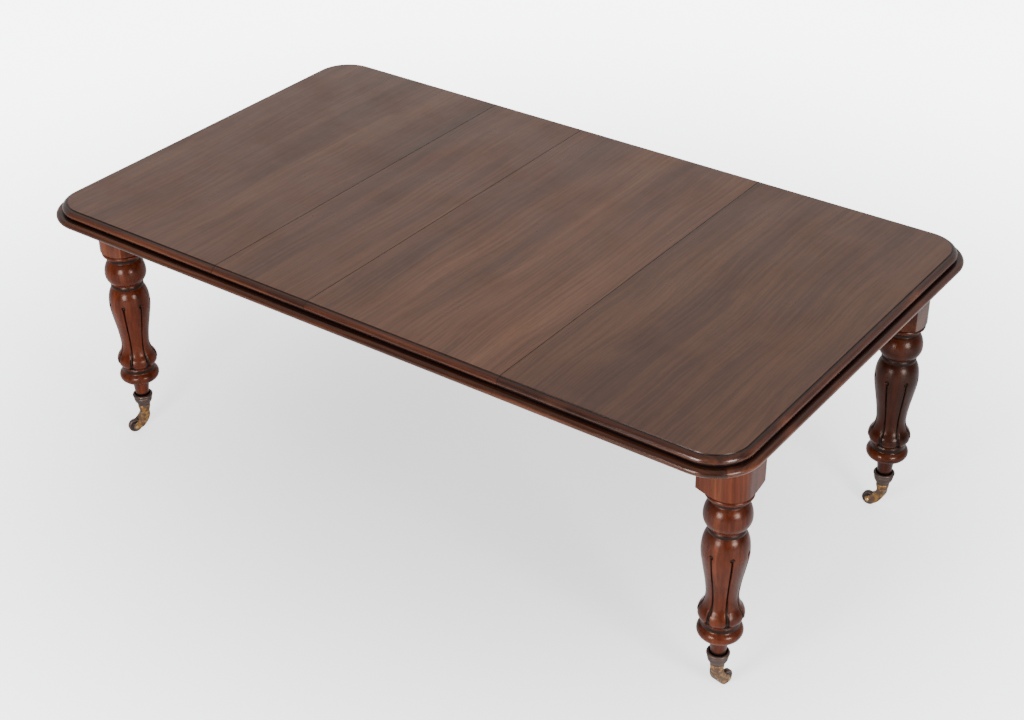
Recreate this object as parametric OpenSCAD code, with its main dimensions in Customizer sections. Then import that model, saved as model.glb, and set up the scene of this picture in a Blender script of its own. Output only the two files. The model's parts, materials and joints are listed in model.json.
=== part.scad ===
// Extending dining table on four turned and carved legs with castors.
// Two end sections pull apart on three-stage wooden runners, and two loose leaves
// of different widths fill the gap between them.
//
// Frame: origin on the floor under the middle of the top, +X along the table's
// length, -Y to the front, +Z up. Millimetres. The model stands open, with both
// leaves in place and no gap left between the sections.

/* [Table] */
// Height of the flat top above the floor
table_h = 735; // [700:1:780]
// Width of the top, front to back
table_w = 1180; // [980:1:1430]
// Length of each end section of the top
end_l = 589; // [490:1:710]
// Width of the narrow loose leaf, along the table
narrow_leaf_l = 287; // [240:1:350]
// Width of the wide loose leaf, along the table
wide_leaf_l = 543; // [455:1:660]
// Plan radius of the four corners of the top
corner_r = 113; // [90:1:150]

/* [Top board and its edge] */
// Thickness of the boards
board_t = 23; // [19:1:28]
// Thickness of the moulding that is planted under the boards' edges
rim_t = 18; // [15:1:22]
// Width of that moulding
rim_w = 40; // [32:1:43]
// Distance from the moulding's nose in to the flat of the top
flat_inset = 32; // [27:1:36]
// Distance from the moulding's nose in to the front of the board's ovolo
ovolo_inset = 17; // [14:1:18]
// Height of the small step round the flat of the top
edge_step = 2.5; // [1.5:0.5:3.5]
// Radius of the ovolo
ovolo_r = 12; // [10:1:13]
// How far the quirk under the ovolo goes in behind its front
quirk_in = 6.5; // [5:0.5:8]
// Hairline left between one section of the top and the next
joint_gap = 0.4; // [0.3:0.1:0.8]

/* [Pegs between the sections] */
// Radius of a locating peg
peg_r = 4.5; // [3.5:0.5:5.5]
// Depth that a peg is glued into its own section
peg_fixed = 15; // [12:1:20]
// Length of a peg that stands out of its section
peg_free = 14; // [10:1:18]
// Distance from the middle of the top to the outer pegs
peg_spread = 400; // [300:10:440]
// Radial clearance of a peg in its socket
peg_clear = 0.4; // [0.3:0.1:0.8]

/* [Frame rails] */
// Depth of the rails under the top
rail_h = 80; // [68:1:92]
// Thickness of the rails
rail_t = 24; // [20:1:28]
// How far the rails' faces stand back from the leg blocks
rail_setback = 2.5; // [1:0.5:5]
// Thickness of the tenons on the rails
tenon_t = 10; // [8:1:12]
// Length of the tenons
tenon_l = 34; // [28:1:36]
// Shoulder above and below each tenon
tenon_shoulder = 12; // [8:1:16]

/* [Legs] */
// Distance from the table's end to the axis of a leg
leg_inset_end = 99; // [88:1:112]
// Distance from the table's side to the axis of a leg
leg_inset_side = 173; // [150:1:200]
// Width of the square block at the head of a leg
leg_block = 108; // [100:1:114]
// Height of the block's turned lower edge above the floor
block_foot_z = 562; // [559:1:568]
// Radius of the block's outer corner
block_corner_r = 46; // [36:1:50]
// Height over which the block's corners are turned away
block_turn_h = 13; // [8:1:20]
// Number of flutes cut down the leg
flute_count = 7; // [6:1:8]
// Width of a flute
flute_w = 4.4; // [3.2:0.2:5.2]
// Depth of a flute
flute_depth = 4; // [3:0.5:5]
// Radius of the drilled drop at the head of a flute
drop_r = 4.5; // [3.5:0.5:5.5]
// Radius of the hollow that parts one lobe from the next at the leg's flare
lobe_hollow_r = 7; // [5:0.5:8]

/* [Runners] */
// Width of a runner
runner_w = 28; // [26:1:30]
// Height of a runner
runner_h = 56; // [50:1:60]
// Length of the runners fixed to the two end sections
runner_l = 1020; // [990:5:1035]
// Length of the middle runners
middle_runner_l = 1010; // [990:5:1025]
// Gap between runners, and between a runner and the leaves over it
slide_gap = 0.6; // [0.4:0.1:1.0]
// Space between the outer runners and the leg blocks
runner_to_leg = 7; // [5:1:12]
// How far the fixed runners are let into the end rails
runner_housing = 8; // [5:1:12]
// Height of the head of the key that joins two runners
key_head_h = 19; // [15:1:22]
// Height of the neck of that key
key_neck_h = 9; // [7:1:11]
// Thickness of the head of the key
key_head_t = 5.2; // [4.4:0.2:5.4]
// Depth of the neck of the key's slot
slot_neck_d = 5; // [4.4:0.2:5]
// Clearance round a key in its slot
key_clear = 0.4; // [0.3:0.1:0.6]
// Depth that a key is glued into its own runner
key_base_d = 7; // [5:0.5:7]
// Length of the stop blocks in the slots
stop_l = 20; // [14:1:30]
// Clearance left before a key meets its stop
stop_clear = 0.5; // [0.3:0.1:1.0]

/* [Cross bars] */
// Width of a cross bar, along the table
bar_w = 50; // [42:1:52]
// Thickness of a cross bar
bar_t = 18; // [15:1:20]
// Height of the pads that carry a bar's own runners
bar_pad = 2; // [1:0.5:3]
// Distance from the joint of an end section out to its cross bar's middle line
bar_from_joint = 56; // [54:1:80]
// How far the bars are let into the side rails
bar_housing = 8; // [5:1:12]

/* [Wood screws] */
// Length of the screws
screw_l = 34; // [30:1:36]
// Radius of the shank
screw_r = 2.2; // [1.8:0.1:2.6]
// Radius of the head
screw_head_r = 4.5; // [4:0.25:5]
// Radius of the pocket that takes a screw down to its head in a runner
pocket_r = 5.5; // [5.25:0.25:6]
// Distance from a screw's point to the face of the top
screw_point_cover = 7; // [5:1:10]

/* [Castors] */
// Radius of a castor wheel
wheel_r = 19; // [16:1:20]
// Width of a castor wheel
wheel_w = 13; // [11:1:15]
// Distance from the swivel axis back to the wheel's axle
castor_trail = 32; // [31:1:36]
// Radius of the axle pin
axle_r = 3; // [2.5:0.25:3.5]
// Radial running clearance of the wheel on its axle, and of the swivel pin in its cup
running_clear = 0.05; // [0.02:0.01:0.1]
// Thickness of a fork arm
arm_t = 5.5; // [4:0.5:6.5]
// Side clearance between the wheel and the fork
wheel_side_clear = 0.7; // [0.4:0.1:1.0]
// Height of the underside of the cup
cup_z = 80; // [77:1:84]
// Height of the cup
cup_h = 36; // [32:1:40]
// Radius of the cup's rim
cup_rim_r = 27; // [25:0.5:29]
// Radius of the swivel pin
swivel_r = 5; // [4:0.5:6]
// Gap under the cup, above the turning horn
swivel_gap = 0.6; // [0.4:0.1:1.0]

/* [Extension] */
// How far the right end pulls out past the closed-up leaves, which frees all three joints
release_travel = 105; // [60:3:120]

/* [Hidden] */
$fn = 64;
eps = 0.01;

CORNERS = ["left_front", "right_front", "right_back", "left_back"];
HALVES = ["left", "right"];
SIDES = ["front", "back"];
// One row a corner: side of the table along X and Y, heading of its castor and turn of its flutes.
CORNER_SIGN = [[-1, -1], [1, -1], [1, 1], [-1, 1]];
CASTOR_HEADING = [245, 79, 178, 205];
FLUTE_TURN = [-10, -44, -39, 20];

MAHOGANY = "#6b3a2c";
DARK_MAHOGANY = "#4a2418";
RUNNER_WOOD = "#8a5a3c";
PALE_BEECH = "#b98f62";
BRASS = "#b08a3e";
DARK_BRASS = "#4b3a30";
WHEEL_BROWN = "#3f2620";
STEEL = "#8c8a86";

// Plan
table_l = 2 * end_l + narrow_leaf_l + wide_leaf_l;
half_l = table_l / 2;
half_w = table_w / 2;
outer_joint_x = half_l - end_l;
leaf_joint_x = narrow_leaf_l - outer_joint_x;
leg_x = half_l - leg_inset_end;
leg_y = half_w - leg_inset_side;
leg_half = leg_block / 2;

// Heights
board_z = table_h - board_t;
rim_z = board_z - rim_t;
rail_z = board_z - rail_h;
runner_top = board_z - slide_gap;
runner_z = runner_top - runner_h;
bar_top = runner_z - bar_pad;
bar_z = bar_top - bar_t;
peg_z = board_z + board_t / 2;
nose_r = rim_t / 2;

// Runner lanes, measured out from the table's long axis to each runner's outer face
lane = runner_w + slide_gap;
left_lane = leg_y - leg_half - runner_to_leg;
middle_lane = left_lane - lane;
right_lane = middle_lane - lane;
rail_face_x = leg_x + leg_half - rail_setback;
rail_face_y = leg_y + leg_half - rail_setback;
runner_end_x = rail_face_x - rail_t + runner_housing;
key_z = runner_z + runner_h / 2 + 2;
slot_head_d = key_head_t + 2 * key_clear;
stop_x = middle_runner_l / 2 - stop_l;
key_end_x = stop_x - release_travel / 2 - stop_clear;
bar_x = outer_joint_x + bar_from_joint;
end_screw_x = [0.35, 0.85];

// Castor
fork_half = wheel_w / 2 + wheel_side_clear;
wheel_room = 1.5;
horn_top = cup_z - swivel_gap;
toe_z = cup_z + 8;
rivet_h = 3;
rivet_r = swivel_r + 2;
rivet_room = 0.6;

// ---------------------------------------------------------------- curves

// Point on a Catmull-Rom curve through p1 and p2, with p0 before and p3 after
function curve_point(p0, p1, p2, p3, t) =
    0.5 * (2 * p1 + (p2 - p0) * t + (2 * p0 - 5 * p1 + 4 * p2 - p3) * t * t
        + (3 * p1 - p0 - 3 * p2 + p3) * t * t * t);

// A list of points that runs smoothly through the given ones, with n steps in each span
function smooth(pts, n = 3) = [
    for (i = [0 : len(pts) - 2], k = [0 : n - 1])
        curve_point(pts[max(i - 1, 0)], pts[i], pts[i + 1], pts[min(i + 2, len(pts) - 1)], k / n),
    pts[len(pts) - 1]
];

// An arc of an ellipse, from angle a0 to a1
function oval(cx, cy, rx, ry, a0, a1, n = 12) =
    [for (i = [0 : n]) let (a = a0 + (a1 - a0) * i / n) [cx + rx * cos(a), cy + ry * sin(a)]];

// ---------------------------------------------------------------- placing

module at_half(half) {
    mirror([half == "left" ? 1 : 0, 0, 0]) children();
}

module at_side(side) {
    mirror([0, side == "front" ? 1 : 0, 0]) children();
}

module at_leg(corner) {
    translate([CORNER_SIGN[corner][0] * leg_x, CORNER_SIGN[corner][1] * leg_y, 0]) children();
}

module at_castor(corner) {
    at_leg(corner) rotate([0, 0, CASTOR_HEADING[corner]]) children();
}

// Turns a shape drawn in Y and Z into a bar along X, from x0 to x1
module along_x(x0, x1) {
    translate([x0, 0, 0]) rotate([90, 0, 90]) linear_extrude(x1 - x0) children();
}

// Turns a shape drawn outward and up into a bar along Y, centred
module along_y(length) {
    rotate([90, 0, 0]) linear_extrude(length, center = true) children();
}

// ---------------------------------------------------------------- the top

// Edge of a board, drawn with 0 at the nose of the moulding and reaching inward
module board_edge(reach) {
    ovolo_x = -(ovolo_inset + ovolo_r);
    ovolo_z = table_h - edge_step - ovolo_r;
    quirk_z = ovolo_z - edge_step;
    translate([-reach, board_z]) square([reach + ovolo_x, board_t - edge_step]);
    translate([-reach, board_z]) square([reach - flat_inset, board_t]);
    translate([ovolo_x - eps, board_z])
        square([ovolo_r - quirk_in + eps, ovolo_z - board_z]);
    translate([ovolo_x - eps, quirk_z]) square([ovolo_r + eps, ovolo_z - quirk_z]);
    intersection() {
        translate([ovolo_x, ovolo_z]) circle(ovolo_r);
        translate([ovolo_x, ovolo_z]) square(ovolo_r);
    }
}

// Section of the planted moulding, with 0 at its nose
module rim_edge() {
    translate([-rim_w, rim_z]) square([rim_w - nose_r, rim_t]);
    translate([-nose_r, rim_z + nose_r]) circle(nose_r);
}

module both_edges() {
    translate([half_w, 0]) board_edge(half_w);
    mirror([1, 0]) translate([half_w, 0]) board_edge(half_w);
}

// Holes for the pegs in the joint face at x, going towards dir
module peg_holes(x, dir, depth, r) {
    for (y = [-peg_spread, 0, peg_spread])
        translate([x - dir * eps, y, peg_z])
            rotate([0, dir * 90, 0]) cylinder(h = depth + eps, r = r);
}

module socket_holes(x, dir) {
    peg_holes(x, dir, peg_free + peg_clear, peg_r + peg_clear);
}

module glued_holes(x, dir) {
    peg_holes(x, dir, peg_fixed, peg_r);
}

// Screw positions of one end section: along the runner and on one side
module top_screw_spots(half) {
    lane_y = (half == "left" ? left_lane : right_lane) - runner_w / 2;
    for (share = end_screw_x, side = [-1, 1])
        translate([outer_joint_x + share * (rail_face_x - outer_joint_x), side * lane_y, 0])
            children();
}

module end_board(half) {
    body_x = half_l - corner_r;
    side_y = half_w - corner_r;
    color(MAHOGANY) difference() {
        at_half(half) union() {
            along_x(outer_joint_x + joint_gap / 2, body_x) both_edges();
            translate([half_l, 0, 0]) along_y(2 * side_y) board_edge(corner_r);
            for (side = SIDES)
                at_side(side) translate([body_x, side_y, 0])
                    rotate_extrude(angle = 90) translate([corner_r, 0]) board_edge(corner_r);
        }
        if (half == "left") glued_holes(-outer_joint_x - joint_gap / 2, -1);
        else socket_holes(outer_joint_x + joint_gap / 2, 1);
        at_half(half) top_screw_spots(half)
            translate([0, 0, table_h - screw_point_cover - screw_l]) cylinder(h = screw_l, r = screw_r);
    }
}

module leaf_board(x0, x1) {
    color(MAHOGANY) difference() {
        along_x(x0 + joint_gap / 2, x1 - joint_gap / 2) both_edges();
        socket_holes(x0 + joint_gap / 2, 1);
        glued_holes(x1 - joint_gap / 2, -1);
    }
}

// Moulding along a side, from x0 to x1
module side_rim(side, x0, x1) {
    color(DARK_MAHOGANY) at_side(side)
        along_x(x0 + joint_gap / 2, x1 - joint_gap / 2) translate([half_w, 0]) rim_edge();
}

// An eighth of a ring at a corner, starting at the given angle
module rim_corner(from_angle) {
    translate([half_l - corner_r, half_w - corner_r, 0]) rotate([0, 0, from_angle])
        rotate_extrude(angle = 45) translate([corner_r, 0]) rim_edge();
}

// Side moulding of an end section, mitred to the end moulding half way round the corner
module end_side_rim(half, side) {
    color(DARK_MAHOGANY) at_half(half) at_side(side) union() {
        along_x(outer_joint_x + joint_gap / 2, half_l - corner_r)
            translate([half_w, 0]) rim_edge();
        rim_corner(45);
    }
}

module end_rim(half) {
    color(DARK_MAHOGANY) at_half(half) union() {
        translate([half_l, 0, 0]) along_y(2 * (half_w - corner_r)) rim_edge();
        for (side = SIDES) at_side(side) rim_corner(0);
    }
}

// Three pegs glued into the face at x and standing out to its right
module pegs(x) {
    tip = peg_r / 3;
    color(PALE_BEECH) for (y = [-peg_spread, 0, peg_spread])
        translate([x - joint_gap / 2, y, peg_z]) rotate([0, 90, 0]) union() {
            translate([0, 0, -peg_fixed]) cylinder(h = peg_fixed + peg_free - tip, r = peg_r);
            translate([0, 0, peg_free - tip]) cylinder(h = tip, r1 = peg_r, r2 = peg_r - tip);
        }
}

// ---------------------------------------------------------------- rails

module tenon_box(size) {
    translate([0, 0, rail_z + tenon_shoulder])
        linear_extrude(rail_h - 2 * tenon_shoulder) square(size, center = true);
}

// Tenons of the side rail and the end rail of one leg, placed for the right back leg
module side_tenon() {
    translate([leg_x - leg_half + tenon_l / 2, rail_face_y - rail_t / 2, 0])
        tenon_box([tenon_l, tenon_t]);
}

module end_tenon() {
    translate([rail_face_x - rail_t / 2, leg_y - leg_half + tenon_l / 2, 0])
        tenon_box([tenon_t, tenon_l]);
}

module end_rail(half) {
    length = 2 * (leg_y - leg_half);
    lane_y = half == "left" ? left_lane : right_lane;
    color(MAHOGANY) at_half(half) difference() {
        union() {
            translate([rail_face_x - rail_t, -length / 2, rail_z]) cube([rail_t, length, rail_h]);
            for (side = SIDES) at_side(side) end_tenon();
        }
        for (side = SIDES)
            at_side(side) translate([rail_face_x - rail_t - 1, lane_y - runner_w, runner_z])
                cube([runner_housing + 1, runner_w, board_z - runner_z + 1]);
    }
}

module side_rail(half, side) {
    x0 = outer_joint_x + joint_gap / 2;
    color(MAHOGANY) at_half(half) at_side(side) difference() {
        union() {
            translate([x0, rail_face_y - rail_t, rail_z])
                cube([leg_x - leg_half - x0, rail_t, rail_h]);
            side_tenon();
        }
        translate([bar_x - bar_w / 2, rail_face_y - rail_t - 1, bar_z])
            cube([bar_w, bar_housing + 1, bar_t]);
    }
}

// ---------------------------------------------------------------- runners

// Section of a key, drawn inward from the face of the runner that holds it
module key_section() {
    neck_l = slide_gap + slot_neck_d + key_clear;
    translate([0, key_z - key_neck_h / 2 - 1.5]) square([key_base_d, key_neck_h + 3]);
    translate([-neck_l - eps, key_z - key_neck_h / 2]) square([neck_l + 2 * eps, key_neck_h]);
    translate([-neck_l - key_head_t, key_z - key_head_h / 2]) square([key_head_t, key_head_h]);
}

// Section of the slot that a key runs in, drawn inward from the face at 0
module slot_section() {
    neck = key_neck_h + 2 * key_clear;
    head = key_head_h + 2 * key_clear;
    translate([-slot_neck_d - eps, key_z - neck / 2]) square([slot_neck_d + 1, neck]);
    translate([-slot_neck_d - slot_head_d, key_z - head / 2]) square([slot_head_d, head]);
}

module stop_section() {
    intersection() {
        slot_section();
        translate([-runner_w, runner_z]) square([runner_w, runner_h]);
    }
}

// A key's section sits on the inner face of the left runner, or the outer face of the right one
module at_key(half) {
    if (half == "left") translate([left_lane - runner_w, 0]) children();
    else translate([right_lane, 0]) mirror([1, 0]) children();
}

// A slot's section sits on the middle runner's face that the key enters
module at_slot(half) {
    if (half == "left") translate([middle_lane, 0]) children();
    else translate([middle_lane - runner_w, 0]) mirror([1, 0]) children();
}

module fixed_runner(half, side) {
    lane_y = half == "left" ? left_lane : right_lane;
    color(RUNNER_WOOD) at_side(side) at_half(half) difference() {
        along_x(runner_end_x - runner_l, runner_end_x) difference() {
            translate([lane_y - runner_w, runner_z]) square([runner_w, board_z - runner_z]);
            at_key(half) translate([0, key_z - key_neck_h / 2 - 1.5])
                square([key_base_d, key_neck_h + 3]);
        }
        // The top of the runner is eased where the leaves and the far end slide over it
        translate([runner_end_x - runner_l - 1, lane_y - runner_w - 1, runner_top])
            cube([runner_l - (runner_end_x - outer_joint_x) + 1, runner_w + 2, slide_gap + 1]);
        top_screw_spots(half) {
            cylinder(h = table_h, r = screw_r);
            cylinder(h = table_h - screw_point_cover - screw_l, r = pocket_r);
            translate([0, 0, table_h - screw_point_cover - screw_l])
                cylinder(h = screw_head_r - screw_r, r1 = screw_head_r, r2 = screw_r);
        }
        bar_screw_spots(lane_y, bar_x) translate([0, 0, bar_z]) cylinder(h = screw_l, r = screw_r);
    }
}

module middle_runner(side) {
    color(RUNNER_WOOD) at_side(side) difference() {
        along_x(-middle_runner_l / 2, middle_runner_l / 2) difference() {
            translate([middle_lane - runner_w, runner_z]) square([runner_w, runner_h]);
            for (half = HALVES) at_slot(half) slot_section();
        }
        bar_screw_spots(middle_lane, 0) translate([0, 0, bar_z]) cylinder(h = screw_l, r = screw_r);
    }
}

// A key runs from its stop to the free end of the runner that holds it
module runner_key(half, side) {
    color(PALE_BEECH) at_side(side) at_half(half)
        along_x(runner_end_x - runner_l, key_end_x) at_key(half) key_section();
}

module runner_stops() {
    color(PALE_BEECH) for (side = SIDES, half = HALVES)
        at_side(side) at_half(half)
            along_x(stop_x, middle_runner_l / 2) at_slot(half) stop_section();
}

// Two screws a runner, side by side along the table, on both sides of it
module bar_screw_spots(lane_y, x) {
    for (side = [-1, 1], dx = [-bar_w / 4, bar_w / 4])
        translate([x + dx, side * (lane_y - runner_w / 2), 0]) children();
}

module cross_bar(lane_y, x, half_span) {
    color(RUNNER_WOOD) difference() {
        union() {
            translate([x - bar_w / 2, -half_span, bar_z]) cube([bar_w, 2 * half_span, bar_t]);
            for (side = SIDES) at_side(side)
                translate([x - bar_w / 2, lane_y - runner_w, bar_top - eps])
                    cube([bar_w, runner_w, bar_pad + eps]);
        }
        bar_screw_spots(lane_y, x) {
            translate([0, 0, bar_z - 1]) cylinder(h = bar_t + bar_pad + 2, r = screw_r);
            translate([0, 0, bar_z])
                cylinder(h = screw_head_r - screw_r, r1 = screw_head_r, r2 = screw_r);
        }
    }
}

module end_cross_bar(half) {
    at_half(half)
        cross_bar(half == "left" ? left_lane : right_lane, bar_x, rail_face_y - rail_t + bar_housing);
}

// A countersunk screw that points up, with its slotted head at height z
module screw(z) {
    slot_d = 1;
    translate([0, 0, z]) difference() {
        union() {
            cylinder(h = screw_head_r - screw_r, r1 = screw_head_r, r2 = screw_r);
            cylinder(h = screw_l - screw_r, r = screw_r);
            translate([0, 0, screw_l - screw_r]) cylinder(h = screw_r, r1 = screw_r, r2 = 0.3);
        }
        translate([-screw_head_r, -slot_d / 2, -1]) cube([2 * screw_head_r, slot_d, 1 + slot_d]);
    }
}

module end_screws(half) {
    color(STEEL) at_half(half) union() {
        top_screw_spots(half) screw(table_h - screw_point_cover - screw_l);
        bar_screw_spots(half == "left" ? left_lane : right_lane, bar_x) screw(bar_z);
    }
}

module middle_screws() {
    color(STEEL) bar_screw_spots(middle_lane, 0) screw(bar_z);
}

// ---------------------------------------------------------------- legs

// Outline of the turned leg from the toe in the cup up to the block, as radius and height
toe_r = 13.5;
toe_top_r = 18.5;
neck_r = 40;
lip_r = 6;
foot_points = [[toe_top_r, cup_z + cup_h + 2], [20.5, 140], [24.5, 160], [29, 166]];
baluster_points = [
    [42, 211], [50.5, 222], [52.8, 232], [50, 243], [42, 256], [37.6, 272],
    [37.4, 290], [41, 321], [46.5, 352], [52, 384], [53.8, 404], [52, 428], [47, 445], [41, 455]
];
base_ring = [35, 182, 17.5, 17];
ring = [28, 496, 26, 31.5];
ring_head_h = 43;
flute_foot_z = 222;
flute_head_z = 409;
lobe_z = 236;

function leg_outline() = concat(
    [[0, toe_z], [toe_r, toe_z]],
    smooth(foot_points),
    oval(base_ring[0], base_ring[1], base_ring[2], base_ring[3], -60, 60),
    [[43, 199], [43, 209]],
    smooth(baluster_points),
    [[43, 457], [43, 464], [neck_r, 466]],
    oval(ring[0], ring[1], ring[2], ring[3], -60, 0),
    oval(ring[0], ring[1], ring[2], ring_head_h, 5, 60),
    [[neck_r, 534.5], [neck_r, 540], [40.8, 544], [43, 547.2], [46, 548.8]],
    oval(leg_half - lip_r, 555, lip_r, lip_r, -90, 70, 8),
    [[leg_half - lip_r + 3, block_foot_z - 0.8], [leg_half - lip_r + 3, block_foot_z + 8], [0, block_foot_z + 8]]
);

// Block at the head of the leg, with its outer corner rounded and its other corners turned off
module leg_block_shape() {
    z0 = block_foot_z;
    core = leg_half - block_corner_r;
    intersection() {
        translate([0, 0, z0]) linear_extrude(board_z - z0) union() {
            translate([-leg_half, -leg_half]) square([leg_block, leg_half + core]);
            translate([-leg_half, -leg_half]) square([leg_half + core, leg_block]);
            translate([core, core]) circle(block_corner_r);
        }
        union() {
            translate([0, 0, z0])
                cylinder(h = block_turn_h, r1 = leg_half - 1, r2 = leg_half * sqrt(2) + 2);
            translate([0, 0, z0 + block_turn_h])
                cylinder(h = board_z, r = leg_block);
        }
    }
}

// Flute cutters: a thin blade that follows the baluster, a drilled drop and a hollow in the flare
module flute_cutters(turn) {
    inner = [
        for (p = smooth(baluster_points)) if (p[1] >= flute_foot_z && p[1] <= flute_head_z)
            [p[0] - flute_depth, p[1]]
    ];
    last = inner[len(inner) - 1];
    blade = concat(
        [[80, flute_foot_z - 14], [inner[0][0] - 2, flute_foot_z - 14]],
        inner,
        [[last[0], flute_head_z], [80, flute_head_z]]
    );
    for (i = [0 : flute_count - 1]) rotate([0, 0, turn + i * 360 / flute_count]) {
        rotate([90, 0, 0]) linear_extrude(flute_w, center = true) polygon(blade);
        translate([last[0] - 1, 0, flute_head_z]) rotate([0, 90, 0]) cylinder(h = 30, r = drop_r);
        translate([54 + lobe_hollow_r / 3, 0, flute_foot_z - 10])
            cylinder(h = lobe_z + 18 - flute_foot_z, r = lobe_hollow_r);
    }
}

module leg(corner) {
    sx = CORNER_SIGN[corner][0];
    sy = CORNER_SIGN[corner][1];
    color(MAHOGANY) difference() {
        at_leg(corner) union() {
            difference() {
                rotate_extrude() polygon(leg_outline());
                flute_cutters(FLUTE_TURN[corner]);
            }
            mirror([sx < 0 ? 1 : 0, 0, 0]) mirror([0, sy < 0 ? 1 : 0, 0]) leg_block_shape();
        }
        // Mortises for the rails and room for the castor's rivet
        mirror([sx < 0 ? 1 : 0, 0, 0]) mirror([0, sy < 0 ? 1 : 0, 0]) {
            side_tenon();
            end_tenon();
        }
        at_leg(corner) translate([0, 0, toe_z - 1])
            cylinder(h = rivet_h + rivet_room + 1, r = rivet_r + rivet_room);
    }
}

// ---------------------------------------------------------------- castors

// Radius of the leg's toe at a height above its end
function toe_radius(h) =
    toe_r + (toe_top_r - toe_r) * h / (foot_points[0][1] - toe_z);

module castor_cup(corner) {
    rim_z0 = cup_z + cup_h - 10;
    seat_h = 16;
    hollow_r = cup_rim_r - 3;
    color(DARK_BRASS) at_castor(corner) difference() {
        rotate_extrude() union() {
            polygon(concat(
                [[0, cup_z], [16, cup_z], [17.5, cup_z + 2], [17, cup_z + 5]],
                smooth([
                    [18, cup_z + 6], [21.5, cup_z + 10], [cup_rim_r - 3.2, rim_z0 - 9],
                    [cup_rim_r - 2.4, rim_z0 - 3], [cup_rim_r - 3, rim_z0]
                ]),
                oval(cup_rim_r - 4.5, rim_z0 + 5, 4.5, 5, -80, 90),
                [[0, rim_z0 + 10]]
            ));
        }
        translate([0, 0, toe_z])
            cylinder(h = seat_h, r1 = toe_radius(0), r2 = toe_radius(seat_h));
        translate([0, 0, toe_z + seat_h])
            cylinder(h = cup_h, r1 = toe_radius(seat_h) + 0.8, r2 = hollow_r + 8);
        translate([0, 0, cup_z - 1]) cylinder(h = cup_h, r = swivel_r + running_clear);
    }
}

// Side view of the horn, drawn along the trail and up, from under the cup to the boss at the axle
module horn_side() {
    boss_r = 8;
    polygon(concat(
        smooth([[-9, 66], [-10.5, 56], [-9, 44], [-4, 33], [4, 22], [14, 14], [24, 11.2]]),
        [for (a = [-100 : 20 : 60]) [castor_trail + boss_r * cos(a), wheel_r + boss_r * sin(a)]],
        smooth([[30, 31], [22, 38], [15, 46], [11, 55], [9, 66]])
    ));
}

// Turned neck of the horn, which turns under the cup
module horn_neck() {
    rotate_extrude() polygon(concat(
        [[0, 46]],
        smooth([[6, 46], [11, 54], [14, 62], [16.2, horn_top - 8], [16.5, horn_top - 3]]),
        [[15.5, horn_top], [0, horn_top]]
    ));
}

module castor_horn(corner) {
    color(BRASS) at_castor(corner) difference() {
        union() {
            horn_neck();
            rotate([90, 0, 0]) linear_extrude(2 * (fork_half + arm_t), center = true) horn_side();
            translate([0, 0, horn_top - eps]) cylinder(h = toe_z - horn_top + eps, r = swivel_r);
            translate([0, 0, toe_z + rivet_room / 2]) cylinder(h = rivet_h - rivet_room / 2, r = rivet_r);
            translate([0, 0, toe_z - eps]) cylinder(h = rivet_room, r = swivel_r);
        }
        translate([castor_trail, 0, wheel_r]) rotate([90, 0, 0]) {
            cylinder(h = 2 * fork_half, r = wheel_r + wheel_room, center = true);
            cylinder(h = 4 * fork_half, r = axle_r, center = true);
        }
    }
}

module castor_axle(corner) {
    half = fork_half + arm_t;
    head_t = 1.6;
    color(DARK_BRASS) at_castor(corner) translate([castor_trail, 0, wheel_r]) rotate([90, 0, 0]) union() {
        cylinder(h = 2 * half, r = axle_r, center = true);
        for (side = [0, 1]) mirror([0, 0, side]) translate([0, 0, half])
            cylinder(h = head_t, r1 = axle_r + 1.5, r2 = axle_r);
    }
}

module castor_wheel(corner) {
    tread_r = 2.5;
    hub_r = axle_r + 3.5;
    half = wheel_w / 2;
    color(WHEEL_BROWN) at_castor(corner) translate([castor_trail, 0, wheel_r]) rotate([90, 0, 0])
        rotate_extrude() difference() {
            union() {
                translate([0, -half + tread_r]) square([wheel_r, wheel_w - 2 * tread_r]);
                translate([0, -half]) square([wheel_r - tread_r, wheel_w]);
                for (side = [-1, 1])
                    translate([wheel_r - tread_r, side * (half - tread_r)]) circle(tread_r);
            }
            translate([-1, -half - 1]) square([1 + axle_r + running_clear, wheel_w + 2]);
            for (side = [-1, 1])
                translate([(hub_r + wheel_r - 2 * tread_r) / 2 , side * half])
                    square([wheel_r - 2 * tread_r - hub_r, 3], center = true);
        }
}

// ---------------------------------------------------------------- the nodes

end_board("left");  // left_end_board
end_board("right");  // right_end_board
leaf_board(-outer_joint_x, leaf_joint_x);  // narrow_leaf_board
leaf_board(leaf_joint_x, outer_joint_x);  // wide_leaf_board
pegs(-outer_joint_x);  // left_end_pegs
pegs(leaf_joint_x);  // narrow_leaf_pegs
pegs(outer_joint_x);  // wide_leaf_pegs
runner_stops();
cross_bar(middle_lane, 0, middle_lane);  // middle_cross_bar
middle_screws();

for (side = SIDES) {
    side_rim(side, -outer_joint_x, leaf_joint_x);
    side_rim(side, leaf_joint_x, outer_joint_x);
    middle_runner(side);
}

for (half = HALVES) {
    end_rim(half);
    end_rail(half);
    end_cross_bar(half);
    end_screws(half);
    for (side = SIDES) {
        end_side_rim(half, side);
        side_rail(half, side);
        fixed_runner(half, side);
        runner_key(half, side);
    }
}

for (i = [0 : 3]) {
    leg(i);
    castor_cup(i);
    castor_horn(i);
    castor_axle(i);
    castor_wheel(i);
}
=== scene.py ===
"""Looks of an extending dining table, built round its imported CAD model.

Every piece is in metres, in the model's own frame: the origin on the floor under the middle of
the top, X along the table, -Y to the front, Z up.
"""
import json
import logging
import math
from dataclasses import dataclass, field, replace
from enum import Enum

import bpy
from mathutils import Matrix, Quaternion, Vector


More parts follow.
